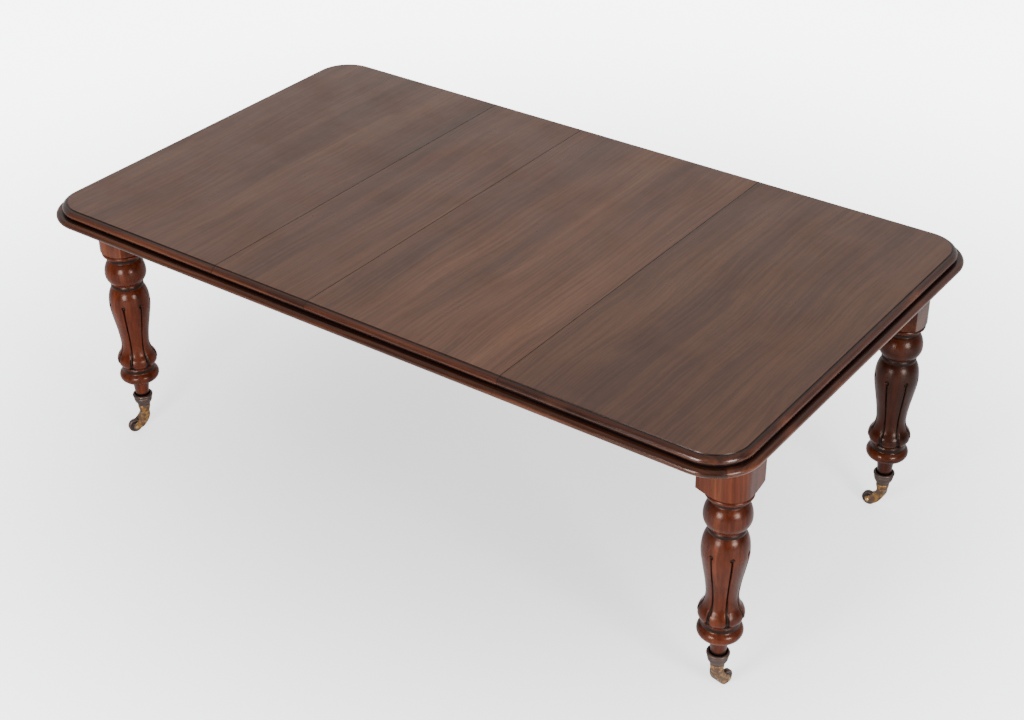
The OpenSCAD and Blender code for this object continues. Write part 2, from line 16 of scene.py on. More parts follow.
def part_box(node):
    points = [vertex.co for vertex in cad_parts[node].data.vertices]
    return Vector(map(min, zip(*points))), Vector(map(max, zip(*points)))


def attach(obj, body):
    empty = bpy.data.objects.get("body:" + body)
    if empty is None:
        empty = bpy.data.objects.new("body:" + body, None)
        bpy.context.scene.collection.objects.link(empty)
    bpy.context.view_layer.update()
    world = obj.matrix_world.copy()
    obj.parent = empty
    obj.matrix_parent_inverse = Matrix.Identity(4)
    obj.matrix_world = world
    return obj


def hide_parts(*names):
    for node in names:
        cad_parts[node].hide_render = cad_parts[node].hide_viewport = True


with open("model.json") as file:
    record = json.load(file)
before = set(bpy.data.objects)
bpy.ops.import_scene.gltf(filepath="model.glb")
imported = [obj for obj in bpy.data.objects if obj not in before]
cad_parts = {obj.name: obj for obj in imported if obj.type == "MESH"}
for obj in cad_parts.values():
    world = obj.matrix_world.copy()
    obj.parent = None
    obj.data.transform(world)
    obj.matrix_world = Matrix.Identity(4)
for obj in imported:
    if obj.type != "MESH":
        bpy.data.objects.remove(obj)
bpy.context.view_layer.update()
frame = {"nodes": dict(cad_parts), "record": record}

log = logging.getLogger("table")

MM = 0.001
RECORD = frame["record"]
SCRATCH_ROUGHNESS = 0.06
DIRT_ROUGHNESS = 0.14
COAT_ROUGHNESS = 0.13
BOARD_TONE = 0.22
BOARD_SHIFT = 3.7
BODY_OF = {node: body for body, nodes in RECORD["behaviour"]["bodies"].items() for node in nodes}
SLOT_OF = {part["node"]: part["material_slot"] for part in RECORD["subparts"]}

Colour = tuple[float, float, float]
Point = tuple[float, float, float]
Flat = tuple[float, float]


class GrainAxis(Enum):
    """Direction that the wood's grain runs in."""

    ALONG_X = ("X", "Y", "Z")
    ALONG_Y = ("Y", "X", "Z")
    ALONG_Z = ("Z", "X", "Y")


@dataclass(frozen=True)
class Stand:
    """Where a leg stands: its sides along X and Y, the turn of its flutes in degrees, its name in
    the model's node names, and a number that draws its wood lighter above 0, darker below 0."""

    side_x: int
    side_y: int
    flute_turn: float
    label: str
    tone: float


class Corner(Enum):
    """The four corners of the table."""

    LEFT_FRONT = Stand(-1, -1, -10.0, "left_front", 1.3)
    RIGHT_FRONT = Stand(1, -1, -44.0, "right_front", 0.0)
    RIGHT_BACK = Stand(1, 1, -39.0, "right_back", -2.0)
    LEFT_BACK = Stand(-1, 1, 20.0, "left_back", 0.0)


# ------------------------------------------------------------------ node trees


@dataclass
class Recipe:
    """A shader node tree being laid out, with short calls for the nodes that are used often."""

    tree: bpy.types.NodeTree

    def add(self, kind: str, **settings: object) -> bpy.types.Node:
        """Adds a node.

        Args:
            kind: The node's type, without the ShaderNode prefix.
            settings: Properties of the node to set.

        Returns:
            The new node.
        """
        node = self.tree.nodes.new("ShaderNode" + kind)
        for key, value in settings.items():
            setattr(node, key, value)
        return node

    def feed(self, socket: bpy.types.NodeSocket, value: object) -> None:
        """Links an output to a socket, or sets a plain value on it.

        Args:
            socket: The input to feed.
            value: An output socket, or a plain value.
        """
        if isinstance(value, bpy.types.NodeSocket):
            self.tree.links.new(value, socket)
        else:
            socket.default_value = value

    def math(self, operation: str, *values: object) -> bpy.types.NodeSocket:
        """Joins values with one arithmetic operation and returns the result.

        Args:
            operation: Name of the operation.
            values: Output sockets or numbers.

        Returns:
            The socket that holds the result.
        """
        node = self.add("Math", operation=operation)
        for socket, value in zip(node.inputs, values):
            self.feed(socket, value)
        return node.outputs[0]

    def remap(self, value: object, low: float, high: float, out_low: float = 0.0,
              out_high: float = 1.0) -> bpy.types.NodeSocket:
        """Maps low..high to out_low..out_high with a soft start and end, and clamps it.

        Args:
            value: The value to map.
            low: Start of its range.
            high: End of its range.
            out_low: What the start becomes.
            out_high: What the end becomes.

        Returns:
            The mapped value's socket.
        """
        node = self.add("MapRange", interpolation_type="SMOOTHSTEP")
        for socket, item in zip(node.inputs, (value, low, high, out_low, out_high)):
            self.feed(socket, item)
        return node.outputs[0]

    def stretch(self, vector: object, factors: Point) -> bpy.types.NodeSocket:
        """Scales a vector by a factor along each axis.

        Args:
            vector: The vector's socket.
            factors: The factor for each axis.

        Returns:
            The scaled vector's socket.
        """
        node = self.add("VectorMath", operation="MULTIPLY")
        self.feed(node.inputs[0], vector)
        node.inputs[1].default_value = factors
        return node.outputs[0]

    def noise(self, vector: object, scale: float, detail: float = 2.0,
              roughness: float = 0.5) -> bpy.types.NodeSocket:
        """Soft noise between about 0.2 and 0.8.

        Args:
            vector: Where to sample it.
            scale: How fine it is.
            detail: How many finer layers.
            roughness: How strong those layers are.

        Returns:
            The noise's socket.
        """
        node = self.add("TexNoise")
        self.feed(node.inputs["Vector"], vector)
        node.inputs["Scale"].default_value = scale
        node.inputs["Detail"].default_value = detail
        node.inputs["Roughness"].default_value = roughness
        return node.outputs["Fac"]

    def blend(self, share: object, first: object, second: object,
              how: str = "MIX") -> bpy.types.NodeSocket:
        """Mixes two colours by a share from 0 to 1.

        Args:
            share: Share of the second colour.
            first: A colour or its socket.
            second: A colour or its socket.
            how: Name of the way they mix.

        Returns:
            The mixed colour's socket.
        """
        node = self.add("Mix", data_type="RGBA", blend_type=how)
        for name, value in (("Factor_Float", share), ("A_Color", first), ("B_Color", second)):
            socket = next(s for s in node.inputs if s.identifier == name)
            self.feed(socket, (*value, 1.0) if isinstance(value, tuple) else value)
        return next(s for s in node.outputs if s.identifier == "Result_Color")

    def place(self, group: bpy.types.NodeTree, **values: object) -> bpy.types.Node:
        """Places a node group and feeds its inputs, whose names have _ for a space.

        Args:
            group: The node group.
            values: Value or socket for each input.

        Returns:
            The placed group's node.
        """
        node = self.add("Group", node_tree=group)
        for name, value in values.items():
            self.feed(node.inputs[name.replace("_", " ")], value)
        return node


def new_group(name: str, inputs: dict[str, float | None],
              outputs: tuple[str, ...]) -> tuple[Recipe, dict, dict]:
    """Starts a shader node group.

    Args:
        name: The group's name.
        inputs: Input names with their default number, or None for a vector.
        outputs: Names of the output values.

    Returns:
        The recipe for its tree, its inputs as outputs to link from, and its outputs to feed.
    """
    tree = bpy.data.node_groups.new(name, "ShaderNodeTree")
    for label, default in inputs.items():
        kind = "NodeSocketVector" if default is None else "NodeSocketFloat"
        socket = tree.interface.new_socket(label, in_out="INPUT", socket_type=kind)
        if default is not None:
            socket.default_value = default
    for label in outputs:
        tree.interface.new_socket(label, in_out="OUTPUT", socket_type="NodeSocketFloat")
    recipe = Recipe(tree)
    source = tree.nodes.new("NodeGroupInput")
    target = tree.nodes.new("NodeGroupOutput")
    given = {s.name: s for s in source.outputs if s.name}
    wanted = {s.name: s for s in target.inputs if s.name}
    return recipe, given, wanted


class SharedEffects:
    """Node groups that more than one finish uses, each built once."""

    def __init__(self) -> None:
        """Builds the groups."""
        self.wood_figure = self._wood_figure()
        self.dirt_shade_and_rub = self._dirt_shade_and_rub()
        self.surface_marks = self._surface_marks()
        self.patina = self._patina()

    @staticmethod
    def _wood_figure() -> bpy.types.NodeTree:
        """Bands, streaks and pores of wood whose grain runs along X of the vector."""
        r, given, out = new_group(
            "wood_figure",
            {"Vector": None, "Wander": 0.02, "Band scale": 8.0, "Streak scale": 80.0},
            ("Band", "Streak", "Pore", "Relief"))
        split = r.add("SeparateXYZ")
        r.feed(split.inputs[0], given["Vector"])
        sway = r.noise(r.stretch(given["Vector"], (1.0, 1.6, 1.6)), 1.7, 2.0)
        sway = r.math("MULTIPLY", r.math("SUBTRACT", sway, 0.5), given["Wander"])
        across = r.math("ADD", split.outputs[1], sway)
        through = r.math("ADD", split.outputs[2], r.math("MULTIPLY", sway, 0.6))

        def layer(along: float, scale: object, detail: float) -> bpy.types.NodeSocket:
            """Noise that is stretched along the grain.

            Args:
                along: Scale along the grain.
                scale: Scale across it.
                detail: How many finer layers.

            Returns:
                The noise's socket.
            """
            joined = r.add("CombineXYZ")
            r.feed(joined.inputs[0], r.math("MULTIPLY", split.outputs[0], along))
            r.feed(joined.inputs[1], r.math("MULTIPLY", across, scale))
            r.feed(joined.inputs[2], r.math("MULTIPLY", through, scale))
            return r.noise(joined.outputs[0], 1.0, detail, 0.6)

        streak = layer(2.4, given["Streak scale"], 4.0)
        pore = r.remap(layer(42.0, r.math("MULTIPLY", given["Streak scale"], 9.0), 1.0), 0.55, 0.72)
        r.feed(out["Band"], layer(0.7, given["Band scale"], 3.0))
        r.feed(out["Streak"], streak)
        r.feed(out["Pore"], pore)
        r.feed(out["Relief"], r.math("SUBTRACT", r.math("MULTIPLY", streak, 0.6),
                                     r.math("MULTIPLY", pore, 0.4)))
        return r.tree

    @staticmethod
    def _dirt_shade_and_rub() -> bpy.types.NodeTree:
        """Old polish and painted shade in the hollows, and where hands and cloths have rubbed the wood
        paler.
        """
        r, given, out = new_group("dirt_shade_and_rub", {"Vector": None, "Hollow": 0.0, "Amount": 1.0},
                                  ("Dirt and shade", "Rub"))
        # The hollow mark, made ragged, gives the share of old polish and of painted shade in the
        # hollows.
        spread = r.noise(given["Vector"], 55.0, 3.0, 0.6)
        ragged = r.math("MULTIPLY", r.math("SUBTRACT", spread, 0.5), 0.5)
        ragged = r.math("ADD", given["Hollow"], ragged)
        r.feed(out["Dirt and shade"], r.math("MULTIPLY", r.remap(ragged, 0.12, 0.85), given["Amount"]))
        clean = r.math("SUBTRACT", 1.0, r.remap(given["Hollow"], 0.0, 0.25))
        rubbed = r.remap(r.noise(given["Vector"], 9.0, 3.0), 0.5, 0.75)
        r.feed(out["Rub"], r.math("MULTIPLY", rubbed, clean))
        return r.tree

    @staticmethod
    def _surface_marks() -> bpy.types.NodeTree:
        """Cloudiness, fine scratches and small dents in a polished surface."""
        r, given, out = new_group("surface_marks", {"Vector": None, "Scale": 1.0},
                                  ("Cloud", "Scratch", "Dent"))
        joined = r.add("VectorMath", operation="SCALE")
        r.feed(joined.inputs[0], given["Vector"])
        r.feed(joined.inputs["Scale"], given["Scale"])
        vector = joined.outputs[0]
        r.feed(out["Cloud"], r.noise(vector, 6.5, 4.0, 0.62))
        crossed = [r.remap(r.noise(r.stretch(vector, way), 1.0, 2.0), 0.66, 0.74)
                   for way in ((900.0, 26.0, 26.0), (30.0, 820.0, 30.0))]
        r.feed(out["Scratch"], r.math("MAXIMUM", *crossed))
        r.feed(out["Dent"], r.remap(r.noise(vector, 75.0, 2.0), 0.66, 0.8))
        return r.tree

    @staticmethod
    def _patina() -> bpy.types.NodeTree:
        """Brown tarnish that stays in the hollows and wears off where metal is rubbed."""
        r, given, out = new_group("patina", {"Vector": None, "Hollow": 0.0, "Cover": 0.5},
                                  ("Tarnish", "Speck", "Relief"))
        patch = r.noise(given["Vector"], 110.0, 4.0, 0.65)
        level = r.math("ADD", r.math("ADD", patch, r.math("MULTIPLY", given["Hollow"], 0.4)),
                       r.math("SUBTRACT", given["Cover"], 0.5))
        speck = r.noise(given["Vector"], 900.0, 3.0, 0.6)
        r.feed(out["Tarnish"], r.remap(level, 0.42, 0.62))
        r.feed(out["Speck"], r.remap(speck, 0.5, 0.7))
        r.feed(out["Relief"], r.math("ADD", patch, r.math("MULTIPLY", speck, 0.25)))
        return r.tree


def start_material(name: str) -> tuple[bpy.types.Material, Recipe, bpy.types.Node]:
    """Makes an empty material.

    Args:
        name: The material's name.

    Returns:
        The material, the recipe for its tree and its Principled shader, joined to the output.
    """
    material = bpy.data.materials.new(name)
    material.use_nodes = True
    material.node_tree.nodes.clear()
    recipe = Recipe(material.node_tree)
    shader = recipe.add("BsdfPrincipled")
    output = recipe.add("OutputMaterial")
    recipe.tree.links.new(shader.outputs[0], output.inputs["Surface"])
    return material, recipe, shader


def finish_bump(recipe: Recipe, shader: bpy.types.Node, height: object, depth: float) -> None:
    """Feeds a height in the given depth, in metres, to the shader's normal.

    Args:
        recipe: The material's recipe.
        shader: Its Principled shader.
        height: The height's socket.
        depth: Depth of the relief, in metres.
    """
    bump = recipe.add("Bump")
    bump.inputs["Distance"].default_value = depth
    recipe.feed(bump.inputs["Height"], height)
    recipe.tree.links.new(bump.outputs[0], shader.inputs["Normal"])


@dataclass(frozen=True)
class WoodFinish:
    """Wood with its polish: colours in linear light, and how the surface is finished."""

    name: str
    dark: Colour
    middle: Colour
    light: Colour
    # Colour of old polish and of painted shade in the hollows.
    dirt_and_shade: Colour
    grain: GrainAxis
    roughness: float
    shine: float
    band_scale: float = 8.0
    streak_scale: float = 80.0
    wander: float = 0.03
    streak_strength: float = 0.5
    pore_strength: float = 0.35
    rub_strength: float = 0.25
    relief: float = 0.00012
    polish: float = 0.0
    shine_tint: Colour = (1.0, 1.0, 1.0)

    def build(self, effects: SharedEffects) -> bpy.types.Material:
        """Makes the material.

        Args:
            effects: The shared node groups.

        Returns:
            The finished material.
        """
        material, r, shader = start_material(self.name)
        place = r.add("TexCoord").outputs["Object"]
        split = r.add("SeparateXYZ")
        r.feed(split.inputs[0], place)
        turned = r.add("CombineXYZ")
        for socket, axis in zip(turned.inputs, self.grain.value):
            r.feed(socket, split.outputs[axis])
        board = r.add("Attribute", attribute_name="board").outputs["Fac"]
        hollow = r.add("Attribute", attribute_name="hollow").outputs["Fac"]
        offset = r.add("CombineXYZ")
        r.feed(offset.inputs[2], r.math("MULTIPLY", board, BOARD_SHIFT))
        shifted = r.add("VectorMath", operation="ADD")
        r.feed(shifted.inputs[0], turned.outputs[0])
        r.feed(shifted.inputs[1], offset.outputs[0])
        figure = r.place(effects.wood_figure, Vector=shifted.outputs[0], Wander=self.wander,
                         Band_scale=self.band_scale, Streak_scale=self.streak_scale)
        wear_and_shade = r.place(effects.dirt_shade_and_rub, Vector=place, Hollow=hollow)
        marks = r.place(effects.surface_marks, Vector=place)
        band = figure.outputs["Band"]
        colour = r.blend(r.remap(band, 0.34, 0.52), self.dark, self.middle)
        colour = r.blend(r.remap(band, 0.5, 0.68), colour, self.light)
        streak = r.remap(figure.outputs["Streak"], 0.36, 0.66, 1.0 - self.streak_strength,
                         1.0 + 0.35 * self.streak_strength)
        pore = r.math("MULTIPLY", figure.outputs["Pore"], self.pore_strength)
        pore = r.math("SUBTRACT", 1.0, pore)
        tone = r.math("MULTIPLY", r.math("MULTIPLY", streak, pore),
                      r.math("ADD", 1.0, r.math("MULTIPLY", board, BOARD_TONE)))
        grey = r.add("CombineColor")
        for socket in grey.inputs:
            r.feed(socket, tone)
        colour = r.blend(1.0, colour, grey.outputs[0], "MULTIPLY")
        rub = r.math("MULTIPLY", wear_and_shade.outputs["Rub"], self.rub_strength)
        colour = r.blend(rub, colour, self.light)
        # The hollows darken towards that colour: old polish and painted shade.
        colour = r.blend(wear_and_shade.outputs["Dirt and shade"], colour, self.dirt_and_shade)
        r.feed(shader.inputs["Base Color"], colour)
        cloud = r.remap(marks.outputs["Cloud"], 0.3, 0.7, -0.06, 0.08)
        dull = r.math("ADD", r.math("MULTIPLY", wear_and_shade.outputs["Dirt and shade"], DIRT_ROUGHNESS),
                      r.math("MULTIPLY", marks.outputs["Scratch"], SCRATCH_ROUGHNESS))
        r.feed(shader.inputs["Roughness"],
               r.math("ADD", self.roughness, r.math("ADD", cloud, dull)))
        shader.inputs["Specular IOR Level"].default_value = self.shine
        shader.inputs["Specular Tint"].default_value = (*self.shine_tint, 1.0)
        if self.polish:
            r.feed(shader.inputs["Coat Weight"],
                   r.math("MULTIPLY", r.math("SUBTRACT", 1.0, wear_and_shade.outputs["Dirt and shade"]), self.polish))
            shader.inputs["Coat Roughness"].default_value = COAT_ROUGHNESS
        height = r.math("SUBTRACT", figure.outputs["Relief"],
                        r.math("MULTIPLY", marks.outputs["Dent"], 0.6))
        finish_bump(r, shader, height, self.relief)
        return material


@dataclass(frozen=True)
class MetalFinish:
    """Cast or turned metal, partly covered with tarnish: colours in linear light."""

    name: str
    bright: Colour
    tarnish: Colour
    cover: float
    roughness: float
    relief: float = 0.0002

    def build(self, effects: SharedEffects) -> bpy.types.Material:
        """Makes the material.

        Args:
            effects: The shared node groups.

        Returns:
            The finished material.
        """
        material, r, shader = start_material(self.name)
        place = r.add("TexCoord").outputs["Object"]
        hollow = r.add("Attribute", attribute_name="hollow").outputs["Fac"]
        coat = r.place(effects.patina, Vector=place, Hollow=hollow, Cover=self.cover)
        marks = r.place(effects.surface_marks, Vector=place, Scale=3.0)
        speck = r.math("MULTIPLY", coat.outputs["Speck"], 0.35)
        share = r.math("MINIMUM", r.math("ADD", coat.outputs["Tarnish"], speck), 1.0)
        r.feed(shader.inputs["Base Color"], r.blend(share, self.bright, self.tarnish))
        r.feed(shader.inputs["Metallic"], r.remap(share, 0.0, 1.0, 1.0, 0.25))
        rough = r.math("ADD", self.roughness, r.math("MULTIPLY", share, 0.22))
        r.feed(shader.inputs["Roughness"],
               r.math("ADD", rough, r.remap(marks.outputs["Cloud"], 0.3, 0.7, -0.05, 0.08)))
        scratch = r.math("MULTIPLY", marks.outputs["Scratch"], -0.2)
        height = r.math("ADD", coat.outputs["Relief"], scratch)
        finish_bump(r, shader, height, self.relief)
        return material


TOP_WOOD = WoodFinish(
    "top_mahogany", dark=(0.074, 0.031, 0.017), middle=(0.100, 0.041, 0.021),
    light=(0.128, 0.055, 0.028), dirt_and_shade=(0.022, 0.010, 0.007), grain=GrainAxis.ALONG_Y,
    roughness=0.33, shine=0.26, band_scale=7.0, streak_scale=130.0, wander=0.06,
    streak_strength=0.24, pore_strength=0.3, rub_strength=0.15, relief=0.00004)
OVOLO_WOOD = WoodFinish(
    "ovolo_mahogany", dark=(0.018, 0.0055, 0.003), middle=(0.035, 0.010, 0.005),
    light=(0.073, 0.022, 0.010), dirt_and_shade=(0.010, 0.005, 0.004), grain=GrainAxis.ALONG_X,
    roughness=0.2, shine=0.22, band_scale=24.0, streak_scale=150.0, streak_strength=0.45,
    rub_strength=0.4, relief=0.00005, polish=0.13, shine_tint=(1.0, 0.85, 0.78))
EDGE_WOOD = WoodFinish(
    "edge_mahogany", dark=(0.015, 0.005, 0.0025), middle=(0.031, 0.0088, 0.004),
    light=(0.070, 0.021, 0.009), dirt_and_shade=(0.008, 0.004, 0.004), grain=GrainAxis.ALONG_X,
    roughness=0.22, shine=0.18, band_scale=22.0, streak_scale=150.0, streak_strength=0.45,
    rub_strength=0.35, relief=0.00005, polish=0.12, shine_tint=(1.0, 0.78, 0.68))
BLOCK_WOOD = WoodFinish(
    "block_mahogany", dark=(0.026, 0.006, 0.003), middle=(0.056, 0.012, 0.005),
    light=(0.12, 0.032, 0.011), dirt_and_shade=(0.008, 0.003, 0.0025), grain=GrainAxis.ALONG_Z,
    roughness=0.23, shine=0.14, band_scale=15.0, streak_scale=150.0, wander=0.05,
    streak_strength=0.3, rub_strength=0.4, relief=0.00006, polish=0.04,
    shine_tint=(1.0, 0.72, 0.6))
# Copies of the ovolo and edge finishes for the ends, with the grain along Y and drawn about twice as
# light as the front's: painted light, the ends lit and the front in shade.
LIT_END_OVOLO_WOOD = replace(
    OVOLO_WOOD, name="end_ovolo_mahogany", grain=GrainAxis.ALONG_Y, dark=(0.028, 0.008, 0.004),
    middle=(0.058, 0.016, 0.008), light=(0.12, 0.036, 0.015))
LIT_END_EDGE_WOOD = replace(
    EDGE_WOOD, name="end_edge_mahogany", grain=GrainAxis.ALONG_Y, dark=(0.030, 0.009, 0.005),
    middle=(0.060, 0.017, 0.008), light=(0.12, 0.035, 0.014))
LEG_WOOD = WoodFinish(
    "leg_mahogany", dark=(0.018, 0.0036, 0.0015), middle=(0.041, 0.0073, 0.0026),
    light=(0.078, 0.0160, 0.0048), dirt_and_shade=(0.003, 0.0013, 0.001), grain=GrainAxis.ALONG_Z,
    roughness=0.26, shine=0.17, shine_tint=(1.0, 0.74, 0.62), band_scale=15.0, streak_scale=150.0,
    wander=0.05, streak_strength=0.3, rub_strength=0.45, relief=0.00006, polish=0.03)
RAIL_WOOD = WoodFinish(
    "rail_mahogany", dark=(0.040, 0.012, 0.007), middle=(0.08, 0.027, 0.014),
    light=(0.14, 0.05, 0.026), dirt_and_shade=(0.012, 0.006, 0.005), grain=GrainAxis.ALONG_X, roughness=0.3,
    shine=0.4, band_scale=14.0, streak_scale=110.0)
CROSS_RAIL_WOOD = replace(
    RAIL_WOOD, name="cross_rail_mahogany", grain=GrainAxis.ALONG_Y)
RUNNER_WOOD = WoodFinish(
    "runner_oak", dark=(0.13, 0.062, 0.03), middle=(0.2, 0.105, 0.052), light=(0.3, 0.17, 0.09),
    dirt_and_shade=(0.05, 0.03, 0.02), grain=GrainAxis.ALONG_X, roughness=0.52, shine=0.3, band_scale=24.0,
    streak_scale=190.0, pore_strength=0.5, relief=0.0002)
CROSS_BAR_WOOD = replace(
    RUNNER_WOOD, name="cross_bar_oak", grain=GrainAxis.ALONG_Y)
PEG_WOOD = WoodFinish(
    "peg_beech", dark=(0.3, 0.18, 0.09), middle=(0.42, 0.27, 0.14), light=(0.52, 0.35, 0.2),
    dirt_and_shade=(0.1, 0.06, 0.03), grain=GrainAxis.ALONG_X, roughness=0.5, shine=0.3, band_scale=40.0,
    streak_scale=260.0, relief=0.0001)
WHEEL_WOOD = WoodFinish(
    "wheel_lignum", dark=(0.018, 0.008, 0.006), middle=(0.04, 0.017, 0.01),
    light=(0.085, 0.038, 0.02), dirt_and_shade=(0.008, 0.005, 0.004), grain=GrainAxis.ALONG_Z,
    roughness=0.33, shine=0.4, band_scale=90.0, streak_scale=500.0, relief=0.0001)
CUP_BRASS = MetalFinish(
    "cup_brass", bright=(0.075, 0.034, 0.02), tarnish=(0.032, 0.015, 0.010), cover=0.6,
    roughness=0.24)
HORN_BRASS = MetalFinish(
    "horn_brass", bright=(0.31, 0.16, 0.047), tarnish=(0.05, 0.022, 0.009), cover=0.57,
    roughness=0.3, relief=0.0004)
AXLE_BRASS = MetalFinish(
    "axle_brass", bright=(0.6, 0.43, 0.2), tarnish=(0.12, 0.07, 0.03), cover=0.5, roughness=0.33)
SCREW_STEEL = MetalFinish(
    "screw_steel", bright=(0.42, 0.4, 0.38), tarnish=(0.1, 0.07, 0.05), cover=0.45, roughness=0.4)

SLOT_FINISHES: dict[str, WoodFinish | MetalFinish] = {
    "top_wood": TOP_WOOD, "edge_wood": EDGE_WOOD, "leg_wood": LEG_WOOD, "rail_wood": RAIL_WOOD,
    "runner_wood": RUNNER_WOOD, "peg_wood": PEG_WOOD, "wheel_lignum": WHEEL_WOOD,
    "cup_brass": CUP_BRASS, "horn_brass": HORN_BRASS, "axle_brass": AXLE_BRASS,
    "screw_steel": SCREW_STEEL,
}

EXTRA_FINISHES: dict[str, WoodFinish] = {
    "ovolo_wood": OVOLO_WOOD, "end_ovolo_wood": LIT_END_OVOLO_WOOD, "end_edge_wood": LIT_END_EDGE_WOOD,
    "block_wood": BLOCK_WOOD, "cross_rail_wood": CROSS_RAIL_WOOD,
    "cross_runner_wood": CROSS_BAR_WOOD,
}


# ------------------------------------------------------------------ meshes


def oval(cx: float, cy: float, rx: float, ry: float, start: float, end: float,
         steps: int = 14) -> list[Flat]:
    """Points on an arc of an ellipse, with the angles in degrees."""
    turns = [math.radians(start + (end - start) * i / steps) for i in range(steps + 1)]
    return [(cx + rx * math.cos(a), cy + ry * math.sin(a)) for a in turns]


def smooth(points: list[Flat], steps: int = 6) -> list[Flat]:
    """A Catmull-Rom curve through the points, with the given steps from one to the next.

    Args:
        points: The points to pass through.
        steps: Steps from each point to the next.

    Returns:
        The points of the curve.
    """
    result = []
    last = len(points) - 1
    for i in range(last):
        p0, p1, p2, p3 = (points[max(i - 1, 0)], points[i], points[i + 1], points[min(i + 2, last)])
        for k in range(steps):
            t = k / steps
            result.append(tuple(
                0.5 * (2 * b + (c - a) * t + (2 * a - 5 * b + 4 * c - d) * t * t
                       + (3 * b - a - 3 * c + d) * t ** 3)
                for a, b, c, d in zip(p0, p1, p2, p3)))
    return result + [points[last]]


def soft_step(value: float, low: float, high: float) -> float:
    """Runs smoothly from 0 at low to 1 at high; low may be the larger.

    Args:
        value: The value to judge.
        low: Where the result is 0.
        high: Where it is 1.

    Returns:
        A number from 0 to 1.
    """
    t = min(max((value - low) / (high - low), 0.0), 1.0)
    return t * t * (3 - 2 * t)


@dataclass
class Shell:
    """Points, faces and hollow marks of one piece while it is being built, in metres."""

    points: list[Point] = field(default_factory=list)
    hollows: list[float] = field(default_factory=list)
    faces: list[tuple[int, ...]] = field(default_factory=list)

    def ring(self, points: list[Point], hollows: list[float]) -> list[int]:
        """Adds a row of points.

        Args:
            points: The points, in order.
            hollows: How far each point lies in a hollow, from 0 to 1.

        Returns:
            Their numbers.
        """
        first = len(self.points)
        self.points.extend(points)
        self.hollows.extend(hollows)
        return list(range(first, len(self.points)))

    def bridge(self, lower: list[int], upper: list[int], closed: bool = True) -> None:
        """Joins two rows of the same length with quads.

        Args:
            lower: Numbers of the first row's points.
            upper: Numbers of the second row's.
            closed: Whether the rows run all the way round.
        """
        count = len(lower)
        for i in range(count if closed else count - 1):
            j = (i + 1) % count
            self.faces.append((lower[i], lower[j], upper[j], upper[i]))

    def cap(self, ring: list[int], turned: bool = False) -> None:
        """Closes a row of points with one face."""
        self.faces.append(tuple(reversed(ring)) if turned else tuple(ring))

    def tube(self, rows: list[list[int]]) -> None:
        """Joins rows of points in order and closes both ends."""
        self.cap(rows[0], turned=True)
        for first, second in zip(rows, rows[1:]):
            self.bridge(first, second)
        self.cap(rows[-1])

    def piece(self, name: str, nodes: tuple[str, ...], material: bpy.types.Material,
              board: float = 0.0, sharp: float = 40.0) -> bpy.types.Object:
        """Makes the object and ties it to the model.

        Args:
            name: Name of the piece.
            nodes: The CAD nodes that it stands for.
            material: Its material.
            board: Tone of its wood against its neighbours, about -1 to 1.
            sharp: Angle over which an edge stays sharp, in degrees.

        Returns:
            The new object.
        """
        mesh = bpy.data.meshes.new(name)
        mesh.from_pydata(self.points, [], self.faces)
        mesh.update(calc_edges=True)
        for label, values in (("hollow", self.hollows), ("board", [board] * len(self.points))):
            layer = mesh.attributes.new(label, "FLOAT", "POINT")
            layer.data.foreach_set("value", values)
        mesh.shade_smooth()
        mesh.set_sharp_from_angle(angle=math.radians(sharp))
        mesh.materials.append(material)
        piece = bpy.data.objects.new(name, mesh)
        bpy.context.scene.collection.objects.link(piece)
        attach(piece, BODY_OF[nodes[0]])
        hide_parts(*nodes)
        log.info("%s: %d points, %d faces", name, len(self.points), len(self.faces))
        return piece


def lathe(shell: Shell, outline: list[Flat], hollows: list[float], centre: Flat,
          columns: int = 96) -> None:
    """Turns an outline that ends where it starts round a vertical axis, all in millimetres.

    Args:
        shell: The shell to add to.
        outline: Radius and height of each point, round the ring's section.
        hollows: Hollow mark of each point of the outline.
        centre: Place of the axis, in metres.
        columns: Number of columns round it.
    """
    turns = [math.tau * c / columns for c in range(columns)]
    rows = []
    for (radius, height), hollow in zip(outline, hollows):
        rows.append(shell.ring([(centre[0] + radius * MM * math.cos(a),
                                 centre[1] + radius * MM * math.sin(a), height * MM) for a in turns],
                               [hollow] * columns))
    for lower, upper in zip(rows, rows[1:]):
        shell.bridge(lower, upper)


# ------------------------------------------------------------------ the top


@dataclass(frozen=True)
class EdgeLevel:
    """One level of a board's edge: inset and height in mm, ease at the joints, hollow marks."""

    inset: float
    height: float
    ease: float
    edge_hollow: float
    joint_hollow: float


